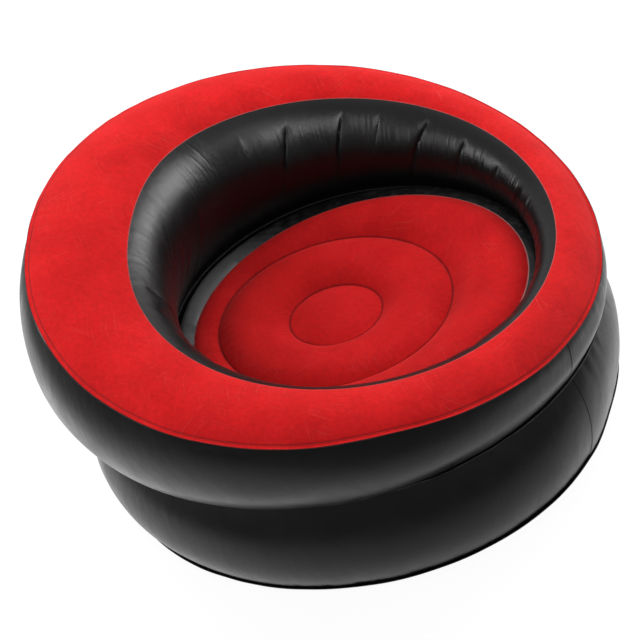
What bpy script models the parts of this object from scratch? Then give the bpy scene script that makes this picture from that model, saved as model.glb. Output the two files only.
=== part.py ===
"""Round one-person inflatable lounge chair, built as the welded PVC panels and valves it is made of.

Metres, +Z up. The origin is the middle of the base sheet on the floor, and the sitter faces -Y.
An angle round the chair is counted from the front, through +X, to the back.

Two rings of air stand on each other: a low one on the floor and one whose top slopes down to the
front, with a flocked top panel. A round seat cushion with two ring-shaped channels lies in the well.
Every panel is a thin sheet with its own weld flanges. Sheets that are welded together on the real
chair lie WELD_GAP apart here.
"""
import math

import bmesh
import bpy
import numpy as np
from mathutils import Matrix, Vector

# Sheets and welds
SHEET = 0.0004
BASE_SHEET = 0.0005
WELD_GAP = 0.0003
FLANGE = 0.006
BASE_FLANGE = 0.0075
GROOVE_FLANGE = 0.008
TAIL = 0.006

# Outer weld of the flocked top panel
RIM_FRONT = 0.471
RIM_SIDE = 0.552
RIM_BACK = 0.462
RIM_LEAN = 0.010
RIM_FRONT_HEIGHT = 0.262
RIM_SIDE_HEIGHT = 0.391
RIM_BACK_HEIGHT = 0.523
RIM_LEAN_HEIGHT = -0.003

# Weld round the mouth of the well
MOUTH_FRONT = 0.400
MOUTH_SIDE = 0.423
MOUTH_BACK = 0.298
MOUTH_LEAN = 0.003
MOUTH_FRONT_HEIGHT = 0.312
MOUTH_SIDE_HEIGHT = 0.392
MOUTH_BACK_HEIGHT = 0.482

# Base weld, the groove between the two rings, how wide the ring is from there to the waist weld, and
# how far the seat pushes that weld up
BASE_REACH = 0.465
GROOVE_INSET = 0.009
GROOVE_HEIGHT = 0.182
RING_WIDTH_FRONT = 0.076
RING_WIDTH_SIDE = 0.101
RING_WIDTH_BACK = 0.147
WAIST_RISE = 0.034

# How far each wall is blown out from the straight line between its welds
UPPER_BULGE_FRONT = 0.009
UPPER_BULGE_SIDE = 0.035
UPPER_BULGE_BACK = 0.061
LOWER_BULGE_FRONT = 0.021
LOWER_BULGE_SIDE = 0.029
LOWER_BULGE_BACK = 0.037
WELL_BULGE_FRONT = 0.028
WELL_BULGE_SIDE = 0.045
WELL_BULGE_BACK = 0.050
CROWN_SHARE = 0.13

# Seat cushion: room to the waist weld, the edge weld of its flocked top against the waist, the shoulder
# that fills the room up to a clearance, and its two channels below the waist
SEAT_ROOM_FRONT = 0.036
SEAT_ROOM_SIDE = 0.055
SEAT_ROOM_BACK = 0.040
SEAT_FRONT_RISE = 0.025
SEAT_SIDE_RISE = 0.011
SEAT_BACK_DROP = 0.008
SEAT_BULGE = 0.010
SHOULDER_CLEARANCE = 0.0015
SHOULDER_DROP_FRONT = 0.034
SHOULDER_DROP_SIDE = 0.030
SHOULDER_DROP_BACK = 0.021
CHANNEL_SETBACK = 0.009
SMALL_CHANNEL = 0.085
SMALL_CHANNEL_DROP = 0.021
REAR_PUFF_WIDTH = 0.046
LARGE_CHANNEL_DROP = 0.009
PUFF_SHARE = 0.16
SEAT_TAIL_TURN = math.radians(30)

# Air valve of each ring, measured along its own axis from the face of the wall
VALVE_STEP = 23
VALVE_FLANGE_RADIUS = 0.024
VALVE_FLANGE = 0.0010
NECK_WALL = 0.0025
NECK_BORE = 0.0125
NECK_HEIGHT = 0.0080
NECK_DEPTH = 0.0060
INSERT_DEPTH = 0.0070
INSERT_FLOOR = 0.0015
INSERT_RIM = 0.0016
INSERT_MOUTH = 0.0048
INSERT_MOUTH_RADIUS = 0.0105
INSERT_BORE = 0.0085
AIR_HOLE = 0.0021
AIR_HOLE_CIRCLE = 0.0055
FLAP_RADIUS = 0.0095
FLAP = 0.0008
FLAP_STEM = 0.0012
FLAP_LIFT = 0.0020
FLAP_BULB = 0.0022
FLAP_BULB_HEIGHT = 0.0014
CAP_WALL = 0.0024
CAP_TOP = 0.0015
CAP_FLUTE = 0.0007
BUTTON_RADIUS = 0.0020
BUTTON_HEIGHT = 0.0022
STRAP = 0.0010
STRAP_WIDTH = 0.0050
STRAP_LOOP = 0.0026
STRAP_EYE = 0.0022
STRAP_REACH = 0.0055

# Small push-in valve on the shoulder of the seat cushion
SEAT_VALVE_STEP = 38
SMALL_FLANGE_RADIUS = 0.0110
SMALL_FLANGE = 0.0008
SMALL_STEM_WALL = 0.0015
SMALL_BORE = 0.0040
SMALL_STEM_DEPTH = 0.0140
SMALL_MOUTH = 0.0010
PLUG_DEPTH = 0.0080
PLUG_TOP_RADIUS = 0.0065
PLUG_TOP = 0.0012
PLUG_TAB = 0.0040
SMALL_FLAP_OVERLAP = 0.0006
SMALL_FLAP = 0.0006
FIT = 0.0003
CUT_OVERRUN = 0.004

# Fineness of the meshes
STATIONS = 48
RIM_ROWS = 6
UPPER_ROWS = 7
WELL_ROWS = 7
LOWER_ROWS = 5
SEAT_ROWS = 3
SHOULDER_ROWS = 4
OUTER_PUFF_ROWS = 4
MIDDLE_PUFF_ROWS = 3
CENTRE_PUFF_ROWS = 3
CHANNEL_STATIONS = 32
VALVE_SIDES = 24
HOLE_SIDES = 10
AIR_HOLES = 6
SMOOTH_ANGLE = math.radians(40)
LEAST_MITRE_SHARE = 0.3

# Angles of the stations, half a step off the front so that a flat facet faces front, side and back
ANGLES = (np.arange(STATIONS) + 0.5) * (2 * math.pi / STATIONS)


def clear_scene():
    """Remove every object of the scene."""
    for old in list(bpy.data.objects):
        bpy.data.objects.remove(old, do_unlink=True)


def make_material(name, colour, roughness, metallic=0.0):
    """Return a Principled material."""
    material = bpy.data.materials.new(name)
    material.use_nodes = True
    shader = material.node_tree.nodes["Principled BSDF"]
    shader.inputs["Base Color"].default_value = (*colour, 1.0)
    shader.inputs["Roughness"].default_value = roughness
    shader.inputs["Metallic"].default_value = metallic
    return material


def add_object(name, points, faces, material):
    """Add a mesh object made of the points and faces."""
    mesh = bpy.data.meshes.new(name)
    mesh.from_pydata([tuple(point) for point in points], [], faces)
    mesh.validate()
    mesh.shade_smooth()
    mesh.set_sharp_from_angle(angle=SMOOTH_ANGLE)
    mesh.materials.append(material)
    thing = bpy.data.objects.new(name, mesh)
    bpy.context.scene.collection.objects.link(thing)
    return thing


def around(front, side, back, lean=0.0):
    """A size at every station: its values at front, sides and back joined by the first cosines.

    lean is the share of the third cosine, which draws the half-way stations to the front or back.
    """
    mean = (front + back + 2 * side) / 4
    swing = (front - back) / 2 - lean
    oval = (front + back - 2 * side) / 4
    return mean + swing * np.cos(ANGLES) + oval * np.cos(2 * ANGLES) + lean * np.cos(3 * ANGLES)


def ring(radius, height):
    """Points of one closed row: radius and height at every station."""
    radius = np.broadcast_to(radius, ANGLES.shape)
    height = np.broadcast_to(height, ANGLES.shape)
    return np.stack([radius * np.sin(ANGLES), -radius * np.cos(ANGLES), height], axis=-1)


def arc_rows(start, end, bulge, count):
    """Rows on the circle arcs from start to end, blown out by bulge; start and end rows included.

    start and end are (radius, height) pairs. The bulge lies to the right of the way from start to
    end, seen with the radius to the right and the height up.
    """
    start_r, start_z = start
    end_r, end_z = end
    chord = np.hypot(end_r - start_r, end_z - start_z)
    along_r = (end_r - start_r) / chord
    along_z = (end_z - start_z) / chord
    half = 2 * np.arctan2(2 * bulge, chord)
    size = chord / (2 * np.sin(half))
    rows = []
    for step in range(count + 1):
        turn = half * (2 * step / count - 1)
        along = size * np.sin(turn)
        out = size * (np.cos(turn) - np.cos(half))
        radius = (start_r + end_r) / 2 + along_r * along + along_z * out
        height = (start_z + end_z) / 2 + along_z * along - along_r * out
        rows.append(ring(radius, height))
    return rows


def unit(vectors):
    """Scale vectors to length one."""
    return vectors / np.linalg.norm(vectors, axis=-1, keepdims=True)


def inner_rows(rows, thickness):
    """Rows of the inner face: every point moved inwards along the mitre of its neighbouring faces."""
    grid = np.array(rows)
    tangent = np.roll(grid, -1, axis=1) - np.roll(grid, 1, axis=1)
    step = np.diff(grid, axis=0)
    before = np.concatenate([step[:1], step])
    after = np.concatenate([step, step[-1:]])
    normal_before = unit(np.cross(unit(before), unit(tangent)))
    normal_after = unit(np.cross(unit(after), unit(tangent)))
    middle = unit(normal_before + normal_after)
    share = np.sum(middle * normal_before, axis=-1, keepdims=True)
    return grid + middle * thickness / np.maximum(share, LEAST_MITRE_SHARE)


def strip(low, high, count):
    """Two triangles for every step between two closed rows of point numbers."""
    faces = []
    for index in range(count):
        following = (index + 1) % count
        faces.append((low[index], low[following], high[following]))
        faces.append((low[index], high[following], high[index]))
    return faces


def sheet_object(name, rows, thickness, material):
    """A closed ring-shaped sheet: rows of its outer face, thickened inwards.

    The rows run up an outer wall, inwards over a top, down a well wall or outwards over a base.
    """
    outer = np.array(rows)
    inner = inner_rows(rows, thickness)
    count = outer.shape[1]
    points = np.concatenate([outer.reshape(-1, 3), inner.reshape(-1, 3)])
    outside = np.arange(outer.shape[0] * count).reshape(-1, count)
    inside = outside + outside.size
    faces = []
    for lower, upper in zip(outside[:-1], outside[1:]):
        faces += strip(lower, upper, count)
    for lower, upper in zip(inside[:-1], inside[1:]):
        faces += [face[::-1] for face in strip(lower, upper, count)]
    faces += strip(inside[0], outside[0], count)
    faces += strip(outside[-1], inside[-1], count)
    faces = [tuple(int(corner) for corner in face) for face in faces]
    return add_object(name, points, faces, material)


def disc_object(name, rows, centre, thickness, material):
    """A closed disc-shaped sheet: rows from its edge to its middle point, thickened downwards."""
    outer = np.array(rows)
    inner = inner_rows(rows, thickness)
    count = outer.shape[1]
    middle = np.array(centre)
    points = np.concatenate([outer.reshape(-1, 3), inner.reshape(-1, 3), [middle],
                             [middle - np.array((0, 0, thickness))]])
    outside = np.arange(outer.shape[0] * count).reshape(-1, count)
    inside = outside + outside.size
    top = 2 * outside.size
    bottom = top + 1
    faces = []
    for lower, upper in zip(outside[:-1], outside[1:]):
        faces += strip(lower, upper, count)
    for lower, upper in zip(inside[:-1], inside[1:]):
        faces += [face[::-1] for face in strip(lower, upper, count)]
    faces += strip(inside[0], outside[0], count)
    for index in range(count):
        following = (index + 1) % count
        faces.append((outside[-1][index], outside[-1][following], top))
        faces.append((inside[-1][following], inside[-1][index], bottom))
    faces = [tuple(int(corner) for corner in face) for face in faces]
    return add_object(name, points, faces, material)


def flat_disc(name, radius, low, thickness, material):
    """A flat round sheet with the given edge radius at every station, lying on the height low."""
    rows = np.concatenate([ring(radius, low), ring(radius, low + thickness)])
    points = np.concatenate([rows, [(0, 0, low), (0, 0, low + thickness)]])
    under = list(range(STATIONS))
    over = list(range(STATIONS, 2 * STATIONS))
    bottom = 2 * STATIONS
    faces = strip(under, over, STATIONS)
    for index in range(STATIONS):
        following = (index + 1) % STATIONS
        faces.append((over[index], over[following], bottom + 1))
        faces.append((under[following], under[index], bottom))
    return add_object(name, points, faces, material)


# Lines that panels share: (radius, height) at every station
def rim_line():
    """Outer weld of the top panel."""
    radius = around(RIM_FRONT, RIM_SIDE, RIM_BACK, RIM_LEAN)
    height = around(RIM_FRONT_HEIGHT, RIM_SIDE_HEIGHT, RIM_BACK_HEIGHT, RIM_LEAN_HEIGHT)
    return radius, height


def mouth_line():
    """Weld of the top panel to the well wall."""
    radius = around(MOUTH_FRONT, MOUTH_SIDE, MOUTH_BACK, MOUTH_LEAN)
    height = around(MOUTH_FRONT_HEIGHT, MOUTH_SIDE_HEIGHT, MOUTH_BACK_HEIGHT)
    return radius, height


def groove_radius():
    """Radius of the weld in the groove between the two rings."""
    return np.full(STATIONS, BASE_REACH - GROOVE_INSET)


def waist_radius():
    """Radius of the weld between the two well walls."""
    return groove_radius() - around(RING_WIDTH_FRONT, RING_WIDTH_SIDE, RING_WIDTH_BACK)


def waist_height():
    """Height of the weld between the two well walls."""
    return GROOVE_HEIGHT + WAIST_RISE


def seat_line():
    """Edge weld of the seat's flocked top, which stands clear of the well walls."""
    radius = waist_radius() - around(SEAT_ROOM_FRONT, SEAT_ROOM_SIDE, SEAT_ROOM_BACK)
    height = waist_height() + around(SEAT_FRONT_RISE, SEAT_SIDE_RISE, -SEAT_BACK_DROP)
    return radius, height


def large_channel():
    """Radius of the seat's large channel, which leaves the outer puff its width at the back."""
    seat_back = BASE_REACH - GROOVE_INSET - RING_WIDTH_BACK - SEAT_ROOM_BACK
    return seat_back - REAR_PUFF_WIDTH - CHANNEL_SETBACK


def top_panel(material):
    """The flocked top: a flange, the crowned band and a tail turned into the ring at the mouth."""
    rim_r, rim_z = rim_line()
    mouth_r, mouth_z = mouth_line()
    width = np.hypot(rim_r - mouth_r, rim_z - mouth_z)
    rows = [ring(rim_r + FLANGE, rim_z)]
    rows += arc_rows((rim_r, rim_z), (mouth_r, mouth_z), width * CROWN_SHARE, RIM_ROWS)
    rows.append(ring(mouth_r, mouth_z - TAIL))
    return sheet_object("top_panel", rows, SHEET, material)


def upper_outer_rows():
    """Rows of the upper ring's outer wall, from the groove flange to the rim flange."""
    rim_r, rim_z = rim_line()
    groove_r = groove_radius()
    low = np.full(STATIONS, GROOVE_HEIGHT + SHEET / 2 + WELD_GAP + SHEET)
    high = rim_z - 2 * SHEET - WELD_GAP
    bulge = around(UPPER_BULGE_FRONT, UPPER_BULGE_SIDE, UPPER_BULGE_BACK)
    rows = [ring(groove_r + GROOVE_FLANGE, low)]
    rows += arc_rows((groove_r, low), (rim_r, high), bulge, UPPER_ROWS)
    rows.append(ring(rim_r + FLANGE, high))
    return rows


def lower_outer_rows():
    """Rows of the lower ring's outer wall, from the base flange to the groove flange."""
    groove_r = groove_radius()
    base_r = np.full(STATIONS, BASE_REACH)
    low = np.full(STATIONS, BASE_SHEET + WELD_GAP + SHEET)
    high = np.full(STATIONS, GROOVE_HEIGHT - SHEET / 2 - WELD_GAP - SHEET)
    bulge = around(LOWER_BULGE_FRONT, LOWER_BULGE_SIDE, LOWER_BULGE_BACK)
    rows = [ring(base_r + BASE_FLANGE, low)]
    rows += arc_rows((base_r, low), (groove_r, high), bulge, LOWER_ROWS)
    rows.append(ring(groove_r + GROOVE_FLANGE, high))
    return rows


def upper_inner_wall(material):
    """Well wall of the upper ring: a tail at the mouth, the blown wall and the waist flange."""
    mouth_r, mouth_z = mouth_line()
    start_r = mouth_r - WELD_GAP
    waist_r = waist_radius()
    low = np.full(STATIONS, waist_height() + SHEET / 2 + WELD_GAP + SHEET)
    bulge = around(WELL_BULGE_FRONT, WELL_BULGE_SIDE, WELL_BULGE_BACK)
    rows = [ring(start_r, mouth_z - TAIL)]
    rows += arc_rows((start_r, mouth_z), (waist_r, low), bulge, WELL_ROWS)
    rows.append(ring(waist_r - FLANGE, low))
    return sheet_object("upper_inner_wall", rows, SHEET, material)


def lower_inner_wall(material):
    """Well wall of the lower ring: upright behind the seat, with a flange at each end."""
    waist_r = waist_radius()
    high = waist_height() - SHEET / 2 - WELD_GAP - SHEET
    low = BASE_SHEET + WELD_GAP
    rows = [ring(waist_r - FLANGE, high), ring(waist_r, high), ring(waist_r, low),
            ring(waist_r + FLANGE, low)]
    return sheet_object("lower_inner_wall", rows, SHEET, material)


def ring_divider(material):
    """Sheet between the two rings, welded in flat at the groove and at the waist, and sloping between."""
    groove_top = GROOVE_HEIGHT + SHEET / 2
    waist_top = waist_height() + SHEET / 2
    past_wall = SHEET + WELD_GAP
    rows = [ring(groove_radius() + GROOVE_FLANGE, groove_top), ring(groove_radius() - past_wall, groove_top),
            ring(waist_radius() + past_wall, waist_top), ring(waist_radius() - FLANGE, waist_top)]
    return sheet_object("ring_divider", rows, SHEET, material)


def channel_ring(radius, height):
    """A row round one of the seat's channels, which lie behind the middle of the chair."""
    row = ring(radius, height)
    row[:, 1] += CHANNEL_SETBACK
    return row


def puff_rows(start, end, count):
    """Rows between two rows, lifted as a parabola by a share of the way between them."""
    way = end - start
    width = np.linalg.norm(way[:, :2], axis=1)
    rows = []
    for step in range(1, count):
        share = step / count
        row = start + way * share
        row[:, 2] += 4 * PUFF_SHARE * width * share * (1 - share)
        rows.append(row)
    return rows


def seat_top_panel(material):
    """The seat's flocked top: tail, outer puff, middle puff and centre puff between its channels."""
    seat_r, seat_z = seat_line()
    tail_in = TAIL * math.sin(SEAT_TAIL_TURN)
    tail_down = TAIL * math.cos(SEAT_TAIL_TURN)
    edge = ring(seat_r, seat_z)
    large = channel_ring(large_channel(), waist_height() - LARGE_CHANNEL_DROP)
    small_height = waist_height() - SMALL_CHANNEL_DROP
    small = channel_ring(SMALL_CHANNEL, small_height)
    middle = channel_ring(0, small_height)
    rows = [ring(seat_r - tail_in, seat_z - tail_down), edge]
    rows += puff_rows(edge, large, OUTER_PUFF_ROWS)
    rows.append(large)
    rows += puff_rows(large, small, MIDDLE_PUFF_ROWS)
    rows.append(small)
    rise = PUFF_SHARE * SMALL_CHANNEL
    for step in range(1, CENTRE_PUFF_ROWS):
        share = step / CENTRE_PUFF_ROWS
        row = small + (middle - small) * share
        row[:, 2] += rise * share * (2 - share)
        rows.append(row)
    centre = (0, CHANNEL_SETBACK, small_height + rise)
    return disc_object("seat_top_panel", rows, centre, SHEET, material)


def seat_side_rows():
    """Rows of the seat's side: bottom flange, a wall that leans out to the waist, the shoulder that
    arcs from upright over to the edge weld, and a tail turned in there."""
    seat_r, seat_z = seat_line()
    bottom = seat_floor() + SHEET + WELD_GAP + SHEET
    start_r = seat_r + WELD_GAP * math.cos(SEAT_TAIL_TURN)
    start_z = seat_z - WELD_GAP * math.sin(SEAT_TAIL_TURN)
    tail_in = TAIL * math.sin(SEAT_TAIL_TURN)
    tail_down = TAIL * math.cos(SEAT_TAIL_TURN)
    low = np.full(STATIONS, bottom)
    reach = waist_radius() - FLANGE - SHOULDER_CLEARANCE
    width = reach - start_r
    drop = around(SHOULDER_DROP_FRONT, SHOULDER_DROP_SIDE, SHOULDER_DROP_BACK)
    bulge = np.hypot(width, drop) / 2 * np.tan(np.arctan2(width, drop) / 2)
    rows = [ring(seat_r + FLANGE, low)]
    rows += arc_rows((seat_r, low), (reach, start_z - drop), np.full(STATIONS, SEAT_BULGE), SEAT_ROWS)
    rows += arc_rows((reach, start_z - drop), (start_r, start_z), bulge, SHOULDER_ROWS)[1:]
    rows.append(ring(start_r - tail_in, start_z - tail_down))
    return rows


def seat_floor():
    """Height of the underside of the seat's bottom sheet."""
    return BASE_SHEET + WELD_GAP


def channel_band(name, radius, height, material):
    """Band inside the seat that ties one channel of its top down to its bottom sheet."""
    low = seat_floor() + SHEET + WELD_GAP
    high = height - 2 * SHEET - WELD_GAP
    points = []
    for reach in (radius + SHEET / 2, radius - SHEET / 2):
        for level in (low, high):
            for station in range(CHANNEL_STATIONS):
                angle = 2 * math.pi * station / CHANNEL_STATIONS
                points.append((reach * math.sin(angle), CHANNEL_SETBACK - reach * math.cos(angle), level))
    rows = [list(range(part * CHANNEL_STATIONS, (part + 1) * CHANNEL_STATIONS)) for part in range(4)]
    outer_low, outer_high, inner_low, inner_high = rows
    faces = strip(outer_low, outer_high, CHANNEL_STATIONS) + strip(outer_high, inner_high, CHANNEL_STATIONS)
    faces += strip(inner_high, inner_low, CHANNEL_STATIONS) + strip(inner_low, outer_low, CHANNEL_STATIONS)
    return add_object(name, points, faces, material)


def turned(name, outline, material, sides=VALVE_SIDES, flute=0.0):
    """A solid turned about +Z from a closed outline of (radius, height), counter-clockwise.

    flute is how far every second station is drawn in on the outline's widest radius, as a grip.
    """
    widest = max(radius for radius, _ in outline)
    points = []
    numbers = []
    for radius, height in outline:
        if radius == 0:
            numbers.append([len(points)] * sides)
            points.append((0, 0, height))
            continue
        numbers.append(list(range(len(points), len(points) + sides)))
        for station in range(sides):
            angle = 2 * math.pi * (station + 0.5) / sides
            reach = radius - flute * (station % 2) * (radius == widest)
            points.append((reach * math.cos(angle), reach * math.sin(angle), height))
    faces = []
    for low, high in zip(numbers, numbers[1:] + numbers[:1]):
        for face in strip(low, high, sides):
            if len(set(face)) == 3:
                faces.append(face)
    return add_object(name, points, faces, material)


def cut(target, cutters, operation="DIFFERENCE"):
    """Apply one Boolean for each cutter to the target and remove the cutters."""
    for cutter in cutters:
        modifier = target.modifiers.new("cut", "BOOLEAN")
        modifier.operation = operation
        modifier.solver = "EXACT"
        modifier.object = cutter
    bpy.context.view_layer.update()
    graph = bpy.context.evaluated_depsgraph_get()
    finished = bpy.data.meshes.new_from_object(target.evaluated_get(graph))
    finished.name = target.name
    target.modifiers.clear()
    target.data = finished
    for cutter in cutters:
        bpy.data.objects.remove(cutter, do_unlink=True)
    return target


def facet_place(rows, row, station):
    """Matrix of the facet between two rows and two stations: origin in it, +Z out, +X level."""
    following = (station + 1) % STATIONS
    corners = [Vector(rows[row][station]), Vector(rows[row][following]),
               Vector(rows[row + 1][station]), Vector(rows[row + 1][following])]
    centre = sum(corners, Vector()) / 4
    level = (corners[1] - corners[0]).normalized()
    up = ((corners[2] + corners[3]) - (corners[0] + corners[1])).normalized()
    out = level.cross(up).normalized()
    up = out.cross(level)
    warp = max(abs((corner - centre).dot(out)) for corner in corners)
    return Matrix((level, up, out)).transposed().to_4x4(), centre + out * warp


def place_empty(name, rows, row, station):
    """An empty on a facet of a wall, which carries a valve."""
    turn, centre = facet_place(rows, row, station)
    carrier = bpy.data.objects.new(name, None)
    bpy.context.scene.collection.objects.link(carrier)
    carrier.matrix_world = Matrix.Translation(centre) @ turn
    return carrier


def wall_with_hole(name, rows, material, carrier, radius):
    """A wall sheet with a round hole at the carrier."""
    wall = sheet_object(name, rows, SHEET, material)
    outline = [(0, -CUT_OVERRUN), (radius, -CUT_OVERRUN), (radius, CUT_OVERRUN), (0, CUT_OVERRUN)]
    cutter = turned(name + "_cutter", outline, material)
    cutter.matrix_world = carrier.matrix_world
    return cut(wall, [cutter])


def neck_radius():
    """Outer radius of a ring valve's neck."""
    return NECK_BORE + NECK_WALL


def valve_base(name, material):
    """Flange welded on the wall and the neck through it."""
    low = WELD_GAP
    top = low + VALVE_FLANGE
    outline = [(NECK_BORE, -NECK_DEPTH), (neck_radius(), -NECK_DEPTH), (neck_radius(), low),
               (VALVE_FLANGE_RADIUS, low), (VALVE_FLANGE_RADIUS, top), (neck_radius(), top),
               (neck_radius(), NECK_HEIGHT), (NECK_BORE, NECK_HEIGHT)]
    return turned(name, outline, material)


def insert_floor():
    """Height of the insert's floor, which carries the rubber flap."""
    return INSERT_FLOOR - INSERT_DEPTH


def insert_rim():
    """Height of the top of the insert's rim, which rests on the neck."""
    return NECK_HEIGHT + FIT + INSERT_RIM


def insert_mouth():
    """Height of the top of the insert's mouth."""
    return insert_rim() + INSERT_MOUTH


def valve_insert(name, material):
    """Plug in the neck with a threaded mouth on top and a floor with air holes."""
    bottom = -INSERT_DEPTH
    floor = insert_floor()
    rim_low = NECK_HEIGHT + FIT
    rim_top = insert_rim()
    mouth = insert_mouth()
    reach = NECK_BORE - FIT
    outline = [(0, bottom), (reach, bottom), (reach, rim_low), (neck_radius(), rim_low),
               (neck_radius(), rim_top), (INSERT_MOUTH_RADIUS, rim_top), (INSERT_MOUTH_RADIUS, mouth),
               (INSERT_BORE, mouth), (INSERT_BORE, floor), (0, floor)]
    insert = turned(name, outline, material)
    cutters = [hole_cutter(0, 0, FLAP_STEM + FIT, bottom, floor)]
    for index in range(AIR_HOLES):
        angle = 2 * math.pi * index / AIR_HOLES
        x = AIR_HOLE_CIRCLE * math.cos(angle)
        y = AIR_HOLE_CIRCLE * math.sin(angle)
        cutters.append(hole_cutter(x, y, AIR_HOLE, bottom, floor))
    return cut(insert, cutters)


def hole_cutter(x, y, radius, low, high):
    """A plain cylinder that cuts a round hole through a floor."""
    outline = [(0, low - FIT), (radius, low - FIT), (radius, high + FIT), (0, high + FIT)]
    cutter = turned("hole_cutter", outline, None, HOLE_SIDES)
    cutter.data.transform(Matrix.Translation((x, y, 0)))
    return cutter


def valve_flap(name, material):
    """Rubber disc under the insert's floor, held by a stem with a bulb above the floor."""
    top = -INSERT_DEPTH - FIT
    bulb = insert_floor() + FIT + FLAP_LIFT
    outline = [(0, top - FLAP), (FLAP_RADIUS, top - FLAP), (FLAP_RADIUS, top), (FLAP_STEM, top),
               (FLAP_STEM, bulb), (FLAP_BULB, bulb), (FLAP_STEM, bulb + FLAP_BULB_HEIGHT),
               (0, bulb + FLAP_BULB_HEIGHT)]
    return turned(name, outline, material, HOLE_SIDES * 2)


def cap_top():
    """Height of the cap's flat top."""
    return insert_mouth() + FIT + CAP_TOP


def valve_cap(name, material):
    """Screw cap with a fluted grip and a button that carries the strap's eye."""
    edge = insert_rim() + FIT
    under = insert_mouth() + FIT
    top = cap_top()
    button = top + BUTTON_HEIGHT
    bore = INSERT_MOUTH_RADIUS + FIT
    reach = bore + CAP_WALL
    outline = [(0, under), (bore, under), (bore, edge), (reach, edge), (reach, top),
               (BUTTON_RADIUS, top), (BUTTON_RADIUS, button), (0, button)]
    return turned(name, outline, material, flute=CAP_FLUTE)


def valve_strap(name, material):
    """Strap: a loop round the neck, an arch beside the cap and an eye round the cap's button."""
    loop_low = 2 * WELD_GAP + VALVE_FLANGE
    eye_low = cap_top() + FIT
    loop_in = neck_radius() + FIT
    loop_out = loop_in + STRAP_LOOP
    eye_in = BUTTON_RADIUS + FIT
    eye_out = eye_in + STRAP_EYE
    loop = turned(name, [(loop_in, loop_low), (loop_out, loop_low), (loop_out, loop_low + STRAP),
                         (loop_in, loop_low + STRAP)], material)
    eye = turned("eye_part", [(eye_in, eye_low), (eye_out, eye_low), (eye_out, eye_low + STRAP),
                              (eye_in, eye_low + STRAP)], material, HOLE_SIDES * 2)
    reach = neck_radius() + STRAP_REACH
    bend = STRAP_LOOP / 2
    inside = [((loop_in + loop_out) / 2, loop_low + STRAP), (reach - bend, loop_low + STRAP),
              (reach, loop_low + STRAP + bend), (reach, eye_low - bend), (reach - bend, eye_low),
              ((eye_in + eye_out) / 2, eye_low)]
    outside = [(eye_out - STRAP_EYE / 2, eye_low + STRAP), (reach - bend, eye_low + STRAP),
               (reach + STRAP, eye_low - bend + STRAP), (reach + STRAP, loop_low + bend),
               (reach - bend + STRAP, loop_low), ((loop_in + loop_out) / 2, loop_low)]
    arch = arch_band("arch_part", inside + outside, STRAP_WIDTH, material)
    return cut(loop, [arch, eye], "UNION")


def arch_band(name, outline, width, material):
    """A band as wide as width along Y with the given closed outline in X and Z."""
    shape = bmesh.new()
    low = [shape.verts.new((x, -width / 2, z)) for x, z in outline]
    face = shape.faces.new(low)
    moved = bmesh.ops.extrude_face_region(shape, geom=[face])
    raised = [item for item in moved["geom"] if isinstance(item, bmesh.types.BMVert)]
    bmesh.ops.translate(shape, vec=(0, width, 0), verts=raised)
    bmesh.ops.recalc_face_normals(shape, faces=shape.faces)
    mesh = bpy.data.meshes.new(name)
    shape.to_mesh(mesh)
    shape.free()
    mesh.materials.append(material)
    band = bpy.data.objects.new(name, mesh)
    bpy.context.scene.collection.objects.link(band)
    return band


def ring_valve(prefix, carrier, finish):
    """The five pieces of a ring's air valve, standing on its carrier."""
    pieces = [valve_base(prefix + "_valve_base", finish["clear"]),
              valve_insert(prefix + "_valve_insert", finish["grey"]),
              valve_flap(prefix + "_valve_flap", finish["rubber"]),
              valve_cap(prefix + "_valve_cap", finish["grey"]),
              valve_strap(prefix + "_valve_strap", finish["grey"])]
    for piece in pieces:
        piece.parent = carrier


def seat_valve(carrier, finish):
    """Push-in valve of the seat: base with stem, plug with a finger tab, and a hinged flap."""
    stem = SMALL_BORE + SMALL_STEM_WALL
    low = WELD_GAP
    top = low + SMALL_FLANGE
    mouth = top + SMALL_MOUTH
    base = turned("seat_valve_base",
                  [(SMALL_BORE, -SMALL_STEM_DEPTH), (stem, -SMALL_STEM_DEPTH), (stem, low),
                   (SMALL_FLANGE_RADIUS, low), (SMALL_FLANGE_RADIUS, top), (stem, top),
                   (stem, mouth), (SMALL_BORE, mouth)], finish["clear"], HOLE_SIDES * 2)
    plug_low = mouth + FIT
    plug = turned("seat_valve_plug",
                  [(0, -PLUG_DEPTH), (SMALL_BORE - FIT, -PLUG_DEPTH), (SMALL_BORE - FIT, plug_low),
                   (PLUG_TOP_RADIUS, plug_low), (PLUG_TOP_RADIUS, plug_low + PLUG_TOP),
                   (0, plug_low + PLUG_TOP)], finish["clear"], HOLE_SIDES * 2)
    tab_in = PLUG_TOP_RADIUS - PLUG_TAB / 2
    tab_out = PLUG_TOP_RADIUS + PLUG_TAB
    tab = arch_band("tab_part", [(tab_in, plug_low + FIT), (tab_out, plug_low + FIT),
                                 (tab_out, plug_low + PLUG_TOP - FIT), (tab_in, plug_low + PLUG_TOP - FIT)],
                    PLUG_TAB, finish["clear"])
    cut(plug, [tab], "UNION")
    flap_top = -SMALL_STEM_DEPTH - FIT
    reach = stem - SMALL_FLAP_OVERLAP
    flap = turned("seat_valve_flap", [(0, -SMALL_FLAP), (reach, -SMALL_FLAP), (reach, 0), (0, 0)],
                  finish["clear"], HOLE_SIDES * 2)
    flap.data.transform(Matrix.Translation((0, -reach, 0)))
    flap.location = (0, reach, flap_top)
    for piece in (base, plug, flap):
        piece.parent = carrier


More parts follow.
